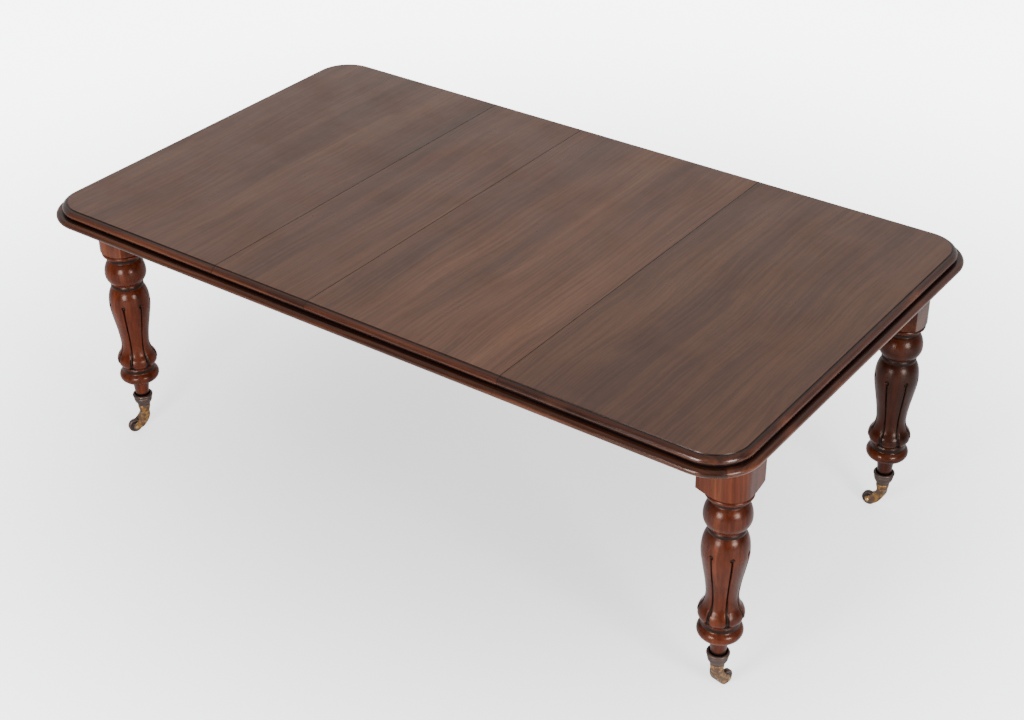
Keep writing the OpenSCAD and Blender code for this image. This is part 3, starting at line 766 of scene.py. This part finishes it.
@dataclass
class TableTop:
    """The four sections of the top, with the ovolo on the boards and the moulding under them."""

    materials: dict[str, bpy.types.Material]
    corner_radius: float = 113.0
    board_height: float = 23.0
    flat_inset: float = 32.0
    step: float = 2.5
    ovolo_radius: float = 12.0
    ovolo_inset: float = 17.0
    quirk_inset: float = 23.5
    quirk_height: float = 6.0
    rim_width: float = 40.0
    nose_radius: float = 9.0
    joint_band: float = 1.2
    tones: dict[str, float] = field(default_factory=lambda: {
        "left_end": 0.0, "narrow_leaf": 0.05, "wide_leaf": 0.3, "right_end": -0.85})

    def __post_init__(self) -> None:
        """Takes the outer size and the joints from the model."""
        low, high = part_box("right_end_rim")
        self.half_length = high[0] / MM
        self.half_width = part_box("right_back_rim")[1][1] / MM
        self.top_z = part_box("right_end_board")[1][2] / MM
        self.board_z = self.top_z - self.board_height
        self.corner_centre = (self.half_length - self.corner_radius,
                              self.half_width - self.corner_radius)

    def levels(self) -> list[EdgeLevel]:
        """The board's edge from the flat of the top down to its underside."""
        top = self.top_z
        inset = self.flat_inset
        axis = self.ovolo_inset + self.ovolo_radius
        axis_z = top - self.step - self.ovolo_radius
        quirk = self.quirk_inset
        quirk_z = self.board_z + self.quirk_height
        # The hollow marks darken the step at the flat's edge and the quirk under the ovolo as painted
        # shade and old polish, and the joints as dirt.
        rows = [EdgeLevel(inset + 2.4, top, 1.6, 0.0, 0.0),
                EdgeLevel(inset + 0.9, top, 0.7, 0.1, 0.3),
                EdgeLevel(inset + 0.2, top - 0.25, 0.35, 0.5, 0.8),
                EdgeLevel(inset - 0.1, top - 1.2, 0.1, 0.75, 1.0),
                EdgeLevel(inset - 0.5, top - self.step + 0.15, 0.0, 0.85, 1.0)]
        for i, angle in enumerate(range(90, -1, -9)):
            turn = math.radians(angle)
            rows.append(EdgeLevel(axis - self.ovolo_radius * math.cos(turn) - (0.4 if i == 0 else 0),
                                  axis_z + self.ovolo_radius * math.sin(turn), 0.0,
                                  max(0.0, 0.5 - 0.28 * i), 1.0))
        rows += [EdgeLevel(self.ovolo_inset + 0.1, quirk_z + 0.8, 0.0, 0.3, 1.0),
                 EdgeLevel(self.ovolo_inset + 0.7, quirk_z + 0.15, 0.0, 0.8, 1.0),
                 EdgeLevel(quirk - 0.8, quirk_z - 0.1, 0.0, 1.0, 1.0),
                 EdgeLevel(quirk, quirk_z - 0.8, 0.0, 1.0, 1.0),
                 EdgeLevel(quirk, self.board_z + 0.1, 0.0, 1.0, 1.0),
                 EdgeLevel(quirk + 0.3, self.board_z, 0.0, 0.8, 0.8),
                 EdgeLevel(quirk + 12.0, self.board_z, 5.0, 0.0, 0.0)]
        return rows

    def end_loop(self, joint: float, side: int, level: EdgeLevel) -> tuple[list[Point], list[float]]:
        """Plan outline of an end section at one level.

        Args:
            joint: Place of the joint face along the table, in mm, as if on the right.
            side: 1 for the right end, -1 for the left.
            level: The level of the edge.

        Returns:
            The points, counter-clockwise, and their hollow marks.
        """
        centre = self.corner_centre
        radius = self.corner_radius - level.inset
        start = joint + level.ease
        half = self.half_width - level.inset
        run = [start, start + self.joint_band]
        run += [start + (centre[0] - start) * i / 10 for i in range(1, 10)]
        plan = [(x, -half) for x in run]
        plan += [(centre[0] + p[0], -centre[1] + p[1])
                 for p in oval(0, 0, radius, radius, -90, 0, 22)]
        plan += [(self.half_length - level.inset, centre[1] * (2 * i / 16 - 1))
                 for i in range(1, 16)]
        plan += [(centre[0] + p[0], centre[1] + p[1])
                 for p in oval(0, 0, radius, radius, 0, 90, 22)]
        plan += [(x, half) for x in reversed(run)]
        marks = [level.edge_hollow] * len(plan)
        marks[0] = marks[-1] = max(level.edge_hollow, level.joint_hollow)
        plan += [(start, half * (1 - 2 * i / 24)) for i in range(1, 24)]
        marks += [level.joint_hollow] * 23
        points = [(side * x * MM, y * MM, level.height * MM) for x, y in plan]
        if side < 0:
            points.reverse()
            marks.reverse()
        return points, marks

    def leaf_loop(self, x0: float, x1: float, level: EdgeLevel) -> tuple[list[Point], list[float]]:
        """Plan outline of a leaf between two joint faces at one level.

        Args:
            x0: Place of the left joint face, in mm.
            x1: Place of the right one.
            level: The level of the edge.

        Returns:
            The points, counter-clockwise, and their hollow marks.
        """
        half = self.half_width - level.inset
        x0, x1 = x0 + level.ease, x1 - level.ease
        run = [x0, x0 + self.joint_band] + [x0 + (x1 - x0) * i / 8 for i in range(1, 8)]
        front = [(x, -half) for x in run + [x1 - self.joint_band, x1]]
        joint = [half * (2 * i / 24 - 1) for i in range(1, 24)]
        plan = front + [(x1, y) for y in joint]
        plan += [(x, half) for x, _ in reversed(front)] + [(x0, y) for y in reversed(joint)]
        corner = max(level.edge_hollow, level.joint_hollow)
        side = [corner] + [level.edge_hollow] * 9 + [corner]
        marks = (side + [level.joint_hollow] * 23) * 2
        return [(x * MM, y * MM, level.height * MM) for x, y in plan], marks

    def board(self, section: str) -> None:
        """Builds one section's board.

        Args:
            section: Name of the section, as in its node's name.
        """
        node = section + "_board"
        low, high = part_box(node)
        shell = Shell()
        rows = []
        for level in self.levels():
            if section.endswith("_end"):
                side = -1 if section == "left_end" else 1
                joint = (low[0] if side > 0 else -high[0]) / MM
                loop = self.end_loop(joint, side, level)
            else:
                loop = self.leaf_loop(low[0] / MM, high[0] / MM, level)
            rows.append(shell.ring(*loop))
        for upper, lower in zip(rows[:3], rows[1:3]):
            shell.bridge(lower, upper)
        flat_faces = len(shell.faces)
        for upper, lower in zip(rows[2:], rows[3:]):
            shell.bridge(lower, upper)
        edge_faces = range(flat_faces, len(shell.faces))
        shell.cap(rows[0])
        shell.cap(rows[-1], turned=True)
        piece = shell.piece(section + "_top", (node,), self.materials["top_wood"],
                            self.tones[section])
        piece.data.materials.append(self.materials["ovolo_wood"])
        piece.data.materials.append(self.materials["end_ovolo_wood"])
        # The ovolo round the ends, from partway round the corners, takes the lighter copy: painted
        # light.
        turn = (self.half_length - 0.4 * self.corner_radius) * MM
        for face in edge_faces:
            polygon = piece.data.polygons[face]
            polygon.material_index = 2 if abs(polygon.center.x) > turn else 1

    def rim_section(self) -> list[tuple[float, float, float]]:
        """Section of the planted moulding: inset and height in mm, and hollow mark."""
        top, radius = self.board_z, self.nose_radius
        low = top - 2 * radius
        # The hollow marks darken the ledge under the board's quirk as painted shade and old polish.
        section = [(self.rim_width, top - 0.05, 1.0), (21.0, top - 0.05, 1.0), (18.0, top - 0.05, 0.9),
                   (15.5, top - 0.05, 0.45), (12.0, top - 0.03, 0.1)]
        section += [(radius - x, z, 0.0)
                    for x, z in oval(0, top - radius, radius, radius, 90, -90, 20)]
        return section + [(20.0, low, 0.2), (self.rim_width - 0.8, low, 0.5),
                          (self.rim_width, low + 0.8, 0.6)]

    def rim(self, name: str, stations: list[tuple[Flat, Flat]]) -> None:
        """Sweeps the moulding past stations that give a point of its nose and the way out of it.

        Args:
            name: The moulding's node.
            stations: Point and outward direction at each station, in mm.
        """
        shell = Shell()
        section = self.rim_section()
        rows = []
        for (x, y), (out_x, out_y) in stations:
            rows.append(shell.ring(
                [((x - out_x * inset) * MM, (y - out_y * inset) * MM, z * MM)
                 for inset, z, _ in section],
                [hollow for _, _, hollow in section]))
        shell.tube(rows)
        wood = self.materials["end_edge_wood" if "_end_" in name else "edge_wood"]
        shell.piece(name.replace("_rim", "_moulding"), (name,), wood)

    def bend(self, start: float, end: float, side_x: int, side_y: int) -> list[tuple[Flat, Flat]]:
        """Stations round part of a corner, with the angles in degrees from the table's end.

        Args:
            start: Angle of the first station.
            end: Angle of the last.
            side_x: Which end of the table.
            side_y: Which long side.

        Returns:
            Point and outward direction at each station, in mm.
        """
        centre = self.corner_centre
        stations = []
        for x, y in oval(0, 0, 1, 1, start, end, 12):
            stations.append(((side_x * (centre[0] + self.corner_radius * x),
                              side_y * (centre[1] + self.corner_radius * y)), (side_x * x, side_y * y)))
        return stations

    def rims(self) -> None:
        """Builds the ten lengths of moulding."""
        for side_x, half in ((-1, "left"), (1, "right")):
            round_end = (self.bend(45, 0, side_x, side_x * -1) + self.bend(0, 45, side_x, side_x))
            self.rim(half + "_end_rim", round_end)
            for side_y, side in ((-1, "front"), (1, "back")):
                name = f"{half}_{side}_rim"
                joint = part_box(name)[0 if side_x > 0 else 1][0] / MM
                run = [((joint, side_y * self.half_width), (0, side_y))]
                stations = run + self.bend(90, 45, side_x, side_y)
                if side_x * side_y > 0:
                    stations.reverse()
                self.rim(name, stations)
        for leaf in ("narrow_leaf", "wide_leaf"):
            for side_y, side in ((-1, "front"), (1, "back")):
                name = f"{leaf}_{side}_rim"
                low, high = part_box(name)
                ends = [low[0] / MM, high[0] / MM]
                if side_y > 0:
                    ends.reverse()
                self.rim(name, [((x, side_y * self.half_width), (0, side_y)) for x in ends])

    def build(self) -> None:
        """Builds the boards and the moulding."""
        for section in self.tones:
            self.board(section)
        self.rims()


# ------------------------------------------------------------------ legs


@dataclass
class TurnedLeg:
    """A turned leg with sunk flutes, and the square block at its head. Sizes in mm."""

    stand: Stand
    materials: dict[str, bpy.types.Material]
    block: float = 108.0
    block_foot: float = 562.0
    block_turn: float = 13.0
    block_corner: float = 46.0
    arris: float = 1.4
    toe_z: float = 88.0
    flute_count: int = 7
    columns_per_flute: int = 32
    flute_top: float = 409.0
    flute_half: float = 2.5
    flute_depth: float = 4.0
    drop_radius: float = 5.4
    drop_depth: float = 5.0
    carving_foot: float = 206.0
    flare_zone: Flat = (290.0, 246.0)
    flare_gain: float = 2.0
    flute_fade: Flat = (209.0, 219.0)
    leaf_top: float = 262.0
    leaf_depth: float = 5.6
    leaf_half: Flat = (5.0, 7.0)
    leaf_spread: Flat = (236.0, 212.0)
    leaf_rise: Flat = (264.0, 240.0)
    leaf_fade: Flat = (207.0, 216.0)
    row_step: float = 2.3
    fine_step: float = 1.1

    def __post_init__(self) -> None:
        """Takes the leg's axis from the model."""
        low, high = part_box(self.stand.label + "_leg")
        self.axis = ((low[0] + high[0]) / 2, (low[1] + high[1]) / 2)
        self.top_z = high[2] / MM

    def outline(self) -> list[Flat]:
        """Outline from the toe in the castor's cup up to the block, as radius and height."""
        half = self.block / 2
        baluster = [(42, 211), (50.5, 222), (52.8, 232), (50, 243), (42, 256), (37.6, 272),
                    (37.4, 290), (41, 321), (46.5, 352), (52, 384), (53.8, 404), (52, 428),
                    (47, 445), (41, 455)]
        return ([(13.5, self.toe_z), (13.5, self.toe_z + 0.5)]
                + smooth([(18.5, 118), (20.5, 140), (24.5, 160), (29, 166), (38, 166.8)])
                + oval(35, 182, 17.5, 17, -60, 60, 18) + [(43, 198.6), (42.6, 200), (42.6, 208.5)]
                + smooth(baluster, 8) + [(42.6, 457), (42.8, 464), (41, 466)]
                + oval(28, 496, 26, 31.5, -60, 0, 16) + oval(28, 496, 26, 43, 4, 60, 18)
                + smooth([(40, 534.5), (39.6, 540), (40.6, 544), (43, 547.2), (46, 548.8)], 4)
                + oval(half - 6, 555, 6, 6, -90, 70, 14)
                + [(half - 3.4, self.block_foot - 1), (half - 3.4, self.block_foot + 3)])

    def rows(self) -> list[Flat]:
        """The outline, stepped evenly and more finely round the flutes' drops."""
        points = self.outline()
        rows = [points[0]]
        for first, second in zip(points, points[1:]):
            fine = 392 < second[1] < 420 or 212 < second[1] < 262
            step = self.fine_step if fine else self.row_step
            count = max(1, round(math.dist(first, second) / step))
            rows += [(first[0] + (second[0] - first[0]) * i / count,
                      first[1] + (second[1] - first[1]) * i / count) for i in range(1, count + 1)]
        return rows

    def cut(self, aside: float, height: float) -> float:
        """Depth of the carving.

        Args:
            aside: Distance along the surface from a flute's middle line.
            height: Height above the floor.

        Returns:
            The depth, in mm.
        """
        if not self.carving_foot < height < self.flute_top + self.drop_radius + 1:
            return 0.0
        depth = 0.0
        aside = abs(aside)
        if height <= self.flute_top:
            half = self.flute_half + self.flare_gain * soft_step(height, *self.flare_zone)
            fade = soft_step(height, *self.flute_fade)
            depth = self.flute_depth * fade * max(0.0, 1 - (aside / half) ** 1.6)
        gap = math.hypot(aside, height - self.flute_top)
        wall = soft_step(gap, self.drop_radius + 0.5, self.drop_radius - 1.6)
        depth = max(depth, self.drop_depth * wall)
        if height < self.leaf_top:
            narrow, gain = self.leaf_half
            half = narrow + gain * soft_step(height, *self.leaf_spread) ** 1.5
            strength = soft_step(height, *self.leaf_rise) * soft_step(height, *self.leaf_fade)
            depth = max(depth, self.leaf_depth * strength * max(0.0, 1 - (aside / half) ** 2))
        return depth

    @staticmethod
    def recess(height: float) -> float:
        """Mark of the turned hollows between one member and the next, which darkens them as painted
        shade and old polish.

        Args:
            height: Height above the floor, in mm.

        Returns:
            The mark, from 0 to 1.
        """
        mark = 0.0
        # The band at 562.8 is a painted shadow line under the block's edge; the others darken the
        # turned hollows.
        for middle, reach, strength in ((540.5, 10.5, 0.75), (461.0, 9.5, 0.75), (562.8, 3.4, 1.0),
                                        (203.5, 9.0, 0.75), (166.0, 6.0, 0.6), (117.0, 9.0, 0.9)):
            mark = max(mark, strength * soft_step(abs(height - middle), reach, reach * 0.2))
        return mark

    def turned_part(self, shell: Shell) -> None:
        """Adds the turned and carved part.

        Args:
            shell: The shell to add to.
        """
        sector = math.tau / self.flute_count
        half_count = self.columns_per_flute // 2
        columns = []
        for flute in range(self.flute_count):
            middle = math.radians(self.stand.flute_turn) + flute * sector
            for k in range(-half_count, half_count):
                share = k / half_count
                offset = math.copysign(abs(share) ** 1.5, share) * sector / 2
                columns.append((middle + offset, offset))
        rings = []
        for radius, height in self.rows():
            points, marks = [], []
            recess = self.recess(height)
            for turn, offset in columns:
                depth = self.cut(offset * radius, height)
                reach = (radius - depth) * MM
                points.append((self.axis[0] + reach * math.cos(turn),
                               self.axis[1] + reach * math.sin(turn), height * MM))
                # The flutes, drops and leaves darken with their depth: painted shade and old polish.
                marks.append(max(recess, min(1.0, depth / 3.4) ** 1.3))
            rings.append(shell.ring(points, marks))
        shell.tube(rings)

    def block_plan(self) -> list[Flat]:
        """Plan of the block for the right back leg: one corner fully round, the others eased."""
        half = self.block / 2
        plan: list[Flat] = []
        for sign_x, sign_y, start in ((1, 1, 0), (-1, 1, 90), (-1, -1, 180), (1, -1, 270)):
            radius = self.block_corner if (sign_x, sign_y) == (1, 1) else self.arris
            centre = (sign_x * (half - radius), sign_y * (half - radius))
            steps = 24 if radius > 10 else 5
            plan += oval(*centre, radius, radius, start, start + 90, steps)
            here = plan[-1]
            after = {0: (-half + self.arris, half), 90: (-half, -half + self.arris),
                     180: (half - self.arris, -half), 270: (half, half - self.block_corner)}[start]
            plan += [(here[0] + (after[0] - here[0]) * i / 14, here[1] + (after[1] - here[1]) * i / 14)
                     for i in range(1, 14)]
        return plan

    def block_part(self, shell: Shell) -> None:
        """Adds the block, whose lower corners are turned away.

        Args:
            shell: The shell to add to.
        """
        plan = self.block_plan()
        low, far = self.block / 2 - 1, self.block / 2 * math.sqrt(2) + 2
        heights = [self.block_foot + self.block_turn * (i / 12) for i in range(13)]
        levels = [(z, low + (far - low) * (z - self.block_foot) / self.block_turn) for z in heights]
        levels += [(z, 999.0) for z in (self.block_foot + self.block_turn + 8, 640.0, self.top_z)]
        mirrored = self.stand.side_x * self.stand.side_y < 0
        rings = []
        for height, limit in levels:
            points, marks = [], []
            for x, y in plan:
                reach = math.hypot(x, y)
                scale = min(1.0, limit / reach)
                points.append((self.axis[0] + self.stand.side_x * x * scale * MM,
                               self.axis[1] + self.stand.side_y * y * scale * MM, height * MM))
                # A painted shadow line, with old polish, along the block's foot above the lip.
                marks.append(0.55 * soft_step(height, self.block_foot + 2.5, self.block_foot))
            if mirrored:
                points.reverse()
            rings.append(shell.ring(points, marks))
        shell.tube(rings)

    def build(self) -> None:
        """Builds the leg as one piece."""
        shell = Shell()
        self.turned_part(shell)
        turned_faces = len(shell.faces)
        self.block_part(shell)
        label = self.stand.label
        piece = shell.piece(label + "_turned_leg", (label + "_leg",), self.materials["leg_wood"],
                            self.stand.tone, 48.0)
        piece.data.materials.append(self.materials["block_wood"])
        for face in range(turned_faces, len(shell.faces)):
            piece.data.polygons[face].material_index = 1


# ------------------------------------------------------------------ castors


@dataclass
class Castor:
    """A brass cup, a bent horn that turns under it, and a wheel on its axle. Sizes in mm."""

    stand: Stand
    materials: dict[str, bpy.types.Material]
    wheel_radius: float = 19.0
    wheel_width: float = 13.0
    axle_radius: float = 3.05
    tread_radius: float = 3.0
    horn_voxel: float = 0.75

    def cup(self) -> None:
        """Turns the cup, with its collar and the open mouth round the leg's toe."""
        node = self.stand.label + "_castor_cup"
        low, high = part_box(node)
        centre = ((low[0] + high[0]) / 2, (low[1] + high[1]) / 2)
        z, top = low[2] / MM, high[2] / MM
        rim = (high[0] - low[0]) / 2 / MM
        marked: list[tuple[float, float, float]] = [
            (5.06, z + 6, 1.0), (5.06, z, 1.0), (15.6, z, 0.3), (16.6, z + 0.6, 0.0),
            (17.2, z + 1.6, 0.0),
            (17.2, z + 2.8, 0.1), (16.7, z + 3.9, 0.8), (16.8, z + 5.0, 0.9)]
        marked += [(x, h, 0.1) for x, h in smooth([(17.8, z + 5.9), (20.6, z + 8.8), (23.0, z + 13.5),
                                                   (24.2, z + 19.0)], 5)]
        marked += [(24.0, z + 20.2, 0.9), (24.2, z + 20.9, 0.9), (24.8, z + 21.6, 0.1),
                   (24.6, z + 23.2, 0.2), (23.8, z + 24.6, 0.9), (23.6, z + 26.0, 1.0)]
        marked += [(x, h, 0.0) for x, h in oval(rim - 4.5, top - 5, 4.5, 4.9, -62, 90, 16)]
        marked += [(x, h, 0.35) for x, h in oval(rim - 4.6, top - 2.4, 1.6, 2.4, 100, 178, 5)]
        marked += [(19.5, top - 6, 0.8), (17.5, top - 11, 1.0), (16.2, z + 24, 1.0),
                   (13.6, z + 8.1, 1.0),
                   (5.06, z + 8, 1.0), (5.06, z + 6, 1.0)]
        shell = Shell()
        lathe(shell, [(r, h) for r, h, _ in marked], [m for _, _, m in marked], centre)
        shell.piece(self.stand.label + "_cup", (node,), self.materials["cup_brass"], 0.0, 50.0)

    def wheel(self) -> None:
        """Turns the wheel with its rounded tread, sunk sides and hub."""
        node = self.stand.label + "_castor_wheel"
        low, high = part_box(node)
        centre = (Vector(low) + Vector(high)) / 2
        horn_low, horn_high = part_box(self.stand.label + "_castor_cup")
        swivel = (Vector(horn_low) + Vector(horn_high)) / 2
        trail = Vector((centre.x - swivel.x, centre.y - swivel.y, 0)).normalized()
        across = Vector((-trail.y, trail.x, 0))
        half, radius, tread = self.wheel_width / 2, self.wheel_radius, self.tread_radius
        # The hollow marks darken the sunk sides and the edge of the hub as painted shade and old
        # polish.
        side = [(self.axle_radius, half, 0.9), (6.2, half, 0.1), (6.6, half - 0.3, 0.3),
                (7.0, half - 1.1, 1.0), (8.2, half - 1.4, 1.0), (12.6, half - 1.4, 0.7),
                (13.6, half - 1.0, 0.9), (14.1, half - 0.2, 0.3), (14.6, half, 0.0)]
        side += [(x, y, 0.0) for x, y in oval(radius - tread, half - tread, tread, tread, 84, 6, 9)]
        section = side + [(r, -y, m) for r, y, m in reversed(side)] + side[:1]
        shell = Shell()
        columns = 88
        rows = []
        for r, y, mark in section:
            ring = []
            for c in range(columns):
                turn = math.tau * c / columns
                offset = trail * math.cos(turn) + Vector((0, 0, 1)) * math.sin(turn)
                ring.append(tuple(centre + (offset * r + across * y) * MM))
            rows.append(shell.ring(ring, [mark] * columns))
        for first, second in zip(rows, rows[1:]):
            shell.bridge(first, second)
        shell.piece(self.stand.label + "_wheel_turned", (node,), self.materials["wheel_lignum"],
                    0.0, 50.0)

    def horn(self) -> None:
        """Softens the horn's edges as on a worn casting."""
        piece = frame["nodes"][self.stand.label + "_castor_horn"]
        melt = piece.modifiers.new("cast_skin", "REMESH")
        melt.mode = "VOXEL"
        melt.voxel_size = self.horn_voxel * MM
        melt.use_smooth_shade = True
        ease = piece.modifiers.new("worn_edges", "SMOOTH")
        ease.factor = 0.5
        ease.iterations = 4

    def build(self) -> None:
        """Builds the castor's pieces."""
        self.cup()
        self.wheel()
        self.horn()


# ------------------------------------------------------------------ under the top


@dataclass
class Joinery:
    """Rails, runners, keys, bars, pegs, stops, screws and axles, which keep their CAD shapes."""

    materials: dict[str, bpy.types.Material]
    eased: dict[str, float] = field(default_factory=lambda: {
        "rail_wood": 1.2, "runner_wood": 0.9, "peg_wood": 0.3, "screw_steel": 0.15,
        "axle_brass": 0.35})

    def dress(self) -> None:
        """Gives every node its finish, and eases the arrises of those that stay visible."""
        for node, piece in frame["nodes"].items():
            slot = SLOT_OF[node]
            piece.data.materials.clear()
            low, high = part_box(node)
            crosswise = high[1] - low[1] > high[0] - low[0]
            name = "cross_" + slot if crosswise and "cross_" + slot in self.materials else slot
            piece.data.materials.append(self.materials[name])
            if slot not in self.eased:
                continue
            weld = piece.modifiers.new("weld", "WELD")
            weld.merge_threshold = 0.01 * MM
            ease = piece.modifiers.new("eased_arris", "BEVEL")
            ease.width = self.eased[slot] * MM
            ease.segments = 2
            ease.limit_method = "ANGLE"
            ease.angle_limit = math.radians(40)
            ease.harden_normals = True
            log.info("%s: arrises eased by %.2f mm", node, self.eased[slot])


# ------------------------------------------------------------------ studio


@dataclass(frozen=True)
class Softbox:
    """A large soft lamp: its place, size in metres and power in watts."""

    name: str
    place: Point
    aim: Point
    width: float
    height: float
    power: float

    def build(self) -> None:
        """Hangs the lamp."""
        lamp = bpy.data.lights.new(self.name, "AREA")
        lamp.shape = "RECTANGLE"
        lamp.size, lamp.size_y, lamp.energy = self.width, self.height, self.power
        holder = bpy.data.objects.new(self.name, lamp)
        bpy.context.scene.collection.objects.link(holder)
        holder.location = self.place
        holder.rotation_mode = "QUATERNION"
        way = Vector(self.aim) - Vector(self.place)
        holder.rotation_quaternion = way.to_track_quat("-Z", "Y")
        holder.visible_camera = False


@dataclass
class Studio:
    """Camera, floor, surrounding light and lamps."""

    camera_place: Point = (2.3094, -3.1161, 2.7821)
    camera_way: Point = (-0.49785, 0.68356, -0.53375)
    camera_roll: float = -0.00756
    lens: float = 62.70
    floor_reach: float = 14.0
    near_glow: float = 0.75
    far_glow: float = 6.0
    lamps: tuple[Softbox, ...] = (
        Softbox("left_softbox", (0.3, -3.5, 1.2), (0.0, 0.0, 0.45), 1.1, 1.3, 170.0),
        Softbox("right_softbox", (3.9, -1.4, 1.35), (0.2, 0.0, 0.45), 1.1, 1.3, 170.0),
    )

    def camera(self) -> None:
        """Sets up the camera."""
        camera = bpy.data.objects.new("camera", bpy.data.cameras.new("camera"))
        bpy.context.scene.collection.objects.link(camera)
        camera.data.lens = self.lens
        camera.location = self.camera_place
        camera.rotation_mode = "QUATERNION"
        turn = Quaternion((0, 0, 1), self.camera_roll)
        camera.rotation_quaternion = Vector(self.camera_way).to_track_quat("-Z", "Y") @ turn
        bpy.context.scene.camera = camera

    def floor(self) -> None:
        """Lays the plain pale floor, which glows to the camera: painted light, dim near the table and
        brighter further away.
        """
        material, r, shader = start_material("studio_floor")
        place = r.add("TexCoord").outputs["Object"]
        r.feed(shader.inputs["Base Color"],
               r.blend(r.noise(place, 0.8, 3.0), (0.86, 0.87, 0.885), (0.9, 0.905, 0.915)))
        r.feed(shader.inputs["Roughness"], r.remap(r.noise(place, 3.0, 3.0), 0.3, 0.7, 0.5, 0.62))
        finish_bump(r, shader, r.noise(place, 60.0, 4.0), 0.0002)
        shader.inputs["Specular IOR Level"].default_value = 0.3
        shader.inputs["Emission Color"].default_value = (0.97, 0.985, 1.0, 1.0)
        # Painted light: camera rays see the floor glow, the more the further from the table, so the
        # shade round the table stays.
        reach = r.add("VectorMath", operation="LENGTH")
        r.feed(reach.inputs[0], place)
        glow = r.remap(reach.outputs["Value"], 0.3, 3.6, self.near_glow, self.far_glow)
        camera = r.add("LightPath").outputs["Is Camera Ray"]
        r.feed(shader.inputs["Emission Strength"], r.math("MULTIPLY", camera, glow))
        mesh = bpy.data.meshes.new("floor")
        far, steps = self.floor_reach, 8
        across = [far * (2 * i / steps - 1) for i in range(steps + 1)]
        points = [(x, y, 0.0) for y in across for x in across]
        faces = [(i + j * (steps + 1), i + 1 + j * (steps + 1), i + 1 + (j + 1) * (steps + 1),
                  i + (j + 1) * (steps + 1)) for j in range(steps) for i in range(steps)]
        mesh.from_pydata(points, [], faces)
        mesh.materials.append(material)
        ground = bpy.data.objects.new("floor", mesh)
        bpy.context.scene.collection.objects.link(ground)

    def surroundings(self) -> None:
        """Soft light all round: bright overhead and at the back, dimmer towards the front."""
        world = bpy.data.worlds.new("studio")
        bpy.context.scene.world = world
        world.use_nodes = True
        world.node_tree.nodes.clear()
        r = Recipe(world.node_tree)
        split = r.add("SeparateXYZ")
        r.feed(split.inputs[0], r.add("TexCoord").outputs["Generated"])
        back = r.math("ADD", r.math("MULTIPLY", split.outputs[0], -0.59),
                      r.math("MULTIPLY", split.outputs[1], 0.81))
        behind = r.remap(back, -0.2, 0.6, 0.0, 1.0)
        above = r.remap(split.outputs[2], 0.25, 0.85, 0.0, 1.0)
        level = r.math("ADD", 0.26, r.math("MAXIMUM", r.math("MULTIPLY", behind, 0.76),
                                           r.math("MULTIPLY", above, 0.8)))
        seen = r.add("LightPath").outputs["Is Camera Ray"]
        shade = r.add("CombineColor")
        for socket in shade.inputs:
            r.feed(socket, level)
        ground = r.add("Background")
        r.feed(ground.inputs["Color"], r.blend(seen, shade.outputs[0], (self.far_glow,) * 3))
        output = r.add("OutputWorld")
        r.tree.links.new(ground.outputs[0], output.inputs["Surface"])

    def build(self) -> None:
        """Sets up the studio."""
        self.camera()
        self.floor()
        self.surroundings()
        for lamp in self.lamps:
            lamp.build()


def main() -> None:
    """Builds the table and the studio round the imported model."""
    logging.basicConfig(level=logging.INFO, format="%(name)s: %(message)s")
    Studio().build()
    effects = SharedEffects()
    materials = {slot: finish.build(effects) for slot, finish in SLOT_FINISHES.items()}
    materials |= {name: finish.build(effects) for name, finish in EXTRA_FINISHES.items()}
    Joinery(materials).dress()
    TableTop(materials).build()
    for corner in Corner:
        TurnedLeg(corner.value, materials).build()
        Castor(corner.value, materials).build()


if __name__ == "__main__":
    main()
